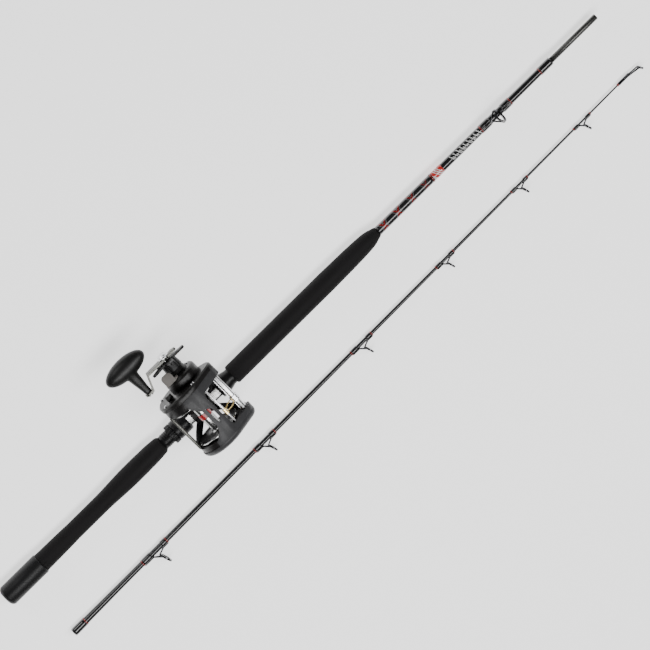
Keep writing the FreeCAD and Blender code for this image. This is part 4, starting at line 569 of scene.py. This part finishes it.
def make_line_guide():
    """Bright brass loop: an eye of bent wire between its slide on the tube and its hub on the rod."""
    low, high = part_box("line_guide")
    tube = centre("worm_shaft")
    rod = centre("guide_rod")
    y = (low.y + high.y) / 2
    half = (high.y - low.y) / 2
    base = Vector((tube.x, y, tube.z))
    top = Vector((rod.x, y, rod.z))
    run = (top - base).normalized()
    wide = half - LOOP_WIRE_R
    start = base + run * LOOP_ABOVE_TUBE
    length = (top - run * LOOP_BELOW_ROD - start).length
    points = [start + run * length * along + Vector((0, wide * out, 0)) for along, out in LOOP_OUTLINE]
    points += [start + run * length * along - Vector((0, wide * out, 0))
               for along, out in reversed(LOOP_OUTLINE)]
    loop = wire_loop("line_guide_eye", points, LOOP_WIRE_R)
    finish_piece(loop, "line_guide", "gold_wire", "line_guide")
    for name, place, bore, outer, paint in (("line_guide_slide", base, SLIDE_BORE, SLIDE_R, "chrome"),
                                            ("line_guide_hub", top, HUB_BORE, HUB_R, "gold_wire")):
        collar = lathe(name, [
            (-half, bore), (-half, outer - BEAD), (-half + BEAD, outer), (-half * 0.35, outer),
            (-half * 0.25, outer - BEAD), (half * 0.25, outer - BEAD), (half * 0.35, outer),
            (half - BEAD, outer), (half, outer - BEAD), (half, bore)], place, (0, 1, 0), steps=64)
        finish_piece(collar, "line_guide", "gold_wire", paint=paint)


BLANK_BORE_CLEAR = 4.8 * MM           # rings of corners inside this radius belong to the bore
MARKS_START_MM, MARKS_END_MM = 848, 902
MARK_COUNT = 17
MARK_ROWS = 9
MARK_REACH = (1.0, 0.55, 0.8, 0.4, 1.0, 0.65)
MARK_CENTRES = (14.0, -8.0)           # degrees round from the top, taken in turn
MARK_HALF_ANGLE = 44.0                # degrees, of the longest stroke
MARK_LEAN = 1.9 * MM
MARK_WIDTH = 0.52                     # share of a step
MARK_CLEAR, MARK_T = 0.12 * MM, 0.10 * MM


def blank_radius(x):
    """Outer radius of the butt blank at a place along it, from its own mesh."""
    mesh = NODES["butt_blank"].data
    stations = {}
    for vertex in mesh.vertices:
        reach = math.hypot(vertex.co.y - AXIS_Y, vertex.co.z - AXIS_Z)
        key = round(vertex.co.x, 5)
        stations[key] = max(stations.get(key, 0.0), reach)
    xs = sorted(key for key in stations if stations[key] > BLANK_BORE_CLEAR)
    for near, far in zip(xs, xs[1:]):
        if near <= x <= far:
            share = (x - near) / (far - near)
            return stations[near] + share * (stations[far] - stations[near])
    return stations[xs[-1]]


def make_side_marks():
    """Pale slanted strokes painted on the blank: a plain row of bars, some long and some short."""
    first = rod_point(MARKS_START_MM).x
    last = rod_point(MARKS_END_MM).x
    radius = (blank_radius(first) + blank_radius(last)) / 2 + MARK_CLEAR
    step = (last - first) / MARK_COUNT
    verts, faces = [], []
    for index in range(MARK_COUNT):
        reach = MARK_REACH[index % len(MARK_REACH)]
        centre_angle = math.radians(MARK_CENTRES[index % 2])
        half_angle = math.radians(MARK_HALF_ANGLE) * reach
        x = first + step * index
        for row in range(MARK_ROWS):
            share = row / (MARK_ROWS - 1) * 2 - 1
            angle = centre_angle + half_angle * share
            y = AXIS_Y + radius * math.sin(angle)
            z = AXIS_Z + radius * math.cos(angle)
            lean = -share * reach * MARK_LEAN
            for edge in (0.0, step * MARK_WIDTH):
                verts.append((x + lean + edge, y, z))
        base = index * MARK_ROWS * 2
        for row in range(MARK_ROWS - 1):
            corner = base + row * 2
            faces.append((corner, corner + 1, corner + 3, corner + 2))
    piece = mesh_object("side_marks", verts, faces)
    skin = piece.modifiers.new("skin", "SOLIDIFY")
    skin.thickness = MARK_T
    skin.offset = 1.0
    finish_piece(piece, "root", "decor_wrap", paint="mark_white")


# ---------------------------------------------------------------- camera, light, floor
VIEW_TILT = math.radians(15.5)        # off the vertical, toward the handle side
ROLL_COS, ROLL_SIN = 0.7120, 0.7022   # direction of the rod in the picture
VIEW_DISTANCE = 4.0
LOOK_ALONG_MM = 567.8
LOOK_SIDE_MM = -41.9
LENS_MM = 163.0
SENSOR_MM = 36.0
FLOOR_GLOW = 1.3                      # the floor's own light, which keeps it pale round the shadows
FLOOR_HALF = 6.0
FLOOR_DROP = 0.4 * MM                 # keeps the floor just under the lowest piece
WORLD_LIGHT = 0.05
LIGHTS_AIM = Vector((0, 0, 0))
KEY_PLACE, KEY_SIZE, KEY_WATTS = (0.0, -0.62, 2.2), (3.6, 0.7), 62.0
FILL_PLACE, FILL_SIZE, FILL_WATTS = (-0.9, 1.9, 1.2), (0.7, 0.7), 7.0


def make_camera():
    toward = Vector((0, math.sin(VIEW_TILT), math.cos(VIEW_TILT)))
    across = Vector((0, -math.cos(VIEW_TILT), math.sin(VIEW_TILT)))
    right = Vector((1, 0, 0)) * ROLL_COS + across * ROLL_SIN
    up = Vector((1, 0, 0)) * ROLL_SIN - across * ROLL_COS
    turn = Matrix((right, up, toward)).transposed().to_4x4()
    data = bpy.data.cameras.new("camera")
    data.lens = LENS_MM
    data.sensor_width = SENSOR_MM
    data.clip_end = 50.0
    camera = bpy.data.objects.new("camera", data)
    place = rod_point(LOOK_ALONG_MM, LOOK_SIDE_MM) + toward * VIEW_DISTANCE
    camera.matrix_world = Matrix.Translation(place) @ turn
    SCENE.collection.objects.link(camera)
    SCENE.camera = camera


def area_light(name, place, size, power):
    """A soft light aimed at the middle of the part."""
    data = bpy.data.lights.new(name, "AREA")
    data.shape = "RECTANGLE"
    data.size, data.size_y = size
    data.energy = power
    light = bpy.data.objects.new(name, data)
    light.location = place
    light.rotation_euler = (LIGHTS_AIM - Vector(place)).to_track_quat("-Z", "Y").to_euler()
    SCENE.collection.objects.link(light)


def make_studio():
    half = FLOOR_HALF
    corners = [(-half, -half, 0), (half, -half, 0), (half, half, 0), (-half, half, 0)]
    floor = mesh_object("floor", corners, [(0, 1, 2, 3)], smooth=False)
    floor.location.z = -FLOOR_DROP
    material, tree, shader, place = new_material("pale_floor")
    speck = noise(tree, place, 30.0)
    colour = mixed_colour(tree, speck, (0.90, 0.90, 0.90), (0.93, 0.93, 0.93))
    tree.links.new(colour, shader.inputs["Base Color"])
    shader.inputs["Roughness"].default_value = 0.7
    shader.inputs["Specular IOR Level"].default_value = 0.1
    shader.inputs["Emission Color"].default_value = (1.0, 1.0, 1.0, 1.0)
    shader.inputs["Emission Strength"].default_value = FLOOR_GLOW
    floor.data.materials.append(material)
    world = bpy.data.worlds.new("studio")
    world.use_nodes = True
    sky = world.node_tree.nodes["Background"]
    sky.inputs["Color"].default_value = (1.0, 1.0, 1.0, 1.0)
    sky.inputs["Strength"].default_value = WORLD_LIGHT
    SCENE.world = world
    area_light("key", KEY_PLACE, KEY_SIZE, KEY_WATTS)
    area_light("fill", FILL_PLACE, FILL_SIZE, FILL_WATTS)


# ---------------------------------------------------------------- carried-over CAD pieces
GROWN = {       # outward growth in millimetres
    "stripper_guide_frame": 0.25, "tip_guide_1_frame": 0.25, "tip_guide_2_frame": 0.25,
    "tip_guide_3_frame": 0.25, "tip_guide_4_frame": 0.25, "tip_guide_5_frame": 0.25,
    "tip_guide_6_frame": 0.25, "tip_top_frame": 0.35, "butt_thread_wraps": 0.3, "tip_thread_wraps": 0.3,
    "butt_trim_bands": 0.2, "tip_trim_bands": 0.2,
}
SMOOTHED = (
    "butt_blank", "tip_blank", "butt_cap", "rear_grip", "fore_grip", "ferrule_spigot", "reel_seat",
    "decorative_wraps", "stripper_guide_ring", "tip_guide_rings",
)
ROUNDED = {     # edge widths in millimetres
    "top_cover": 0.45, "handle_side_ring": 0.35, "palm_side_ring": 0.35, "handle_side_plate": 0.4,
    "gear_cover": 0.4, "palm_side_plate": 0.4, "reel_stand": 0.6, "star_drag": 0.5, "handle_arm": 0.55,
    "handle_nut": 0.35, "free_spool_lever": 0.5, "thumb_screw": 0.3, "clicker_button": 0.4, "fixed_hood": 0.4,
    "sliding_hood": 0.4, "seat_lock_nut": 0.3, "reel_foot": 0.4, "level_wind_tube": 0.2, "guide_rod": 0.2,
    "rear_pillar": 0.3, "knob_pin": 0.35,
}


def dress_cad_nodes():
    for node, piece in NODES.items():
        dress(piece, SLOT_OF[node])
        for polygon in piece.data.polygons:
            polygon.use_smooth = True
        piece.data.set_sharp_from_angle(angle=CAD_CREASE)


make_camera()
make_studio()
dress_cad_nodes()
make_spool()
make_knob()
make_line_guide()
make_yoke_springs()
make_side_marks()
for node, width in ROUNDED.items():
    softened(node, width * MM)
for node, growth in GROWN.items():
    smooth_copy(node, growth * MM)
for node in SMOOTHED:
    smooth_copy(node)
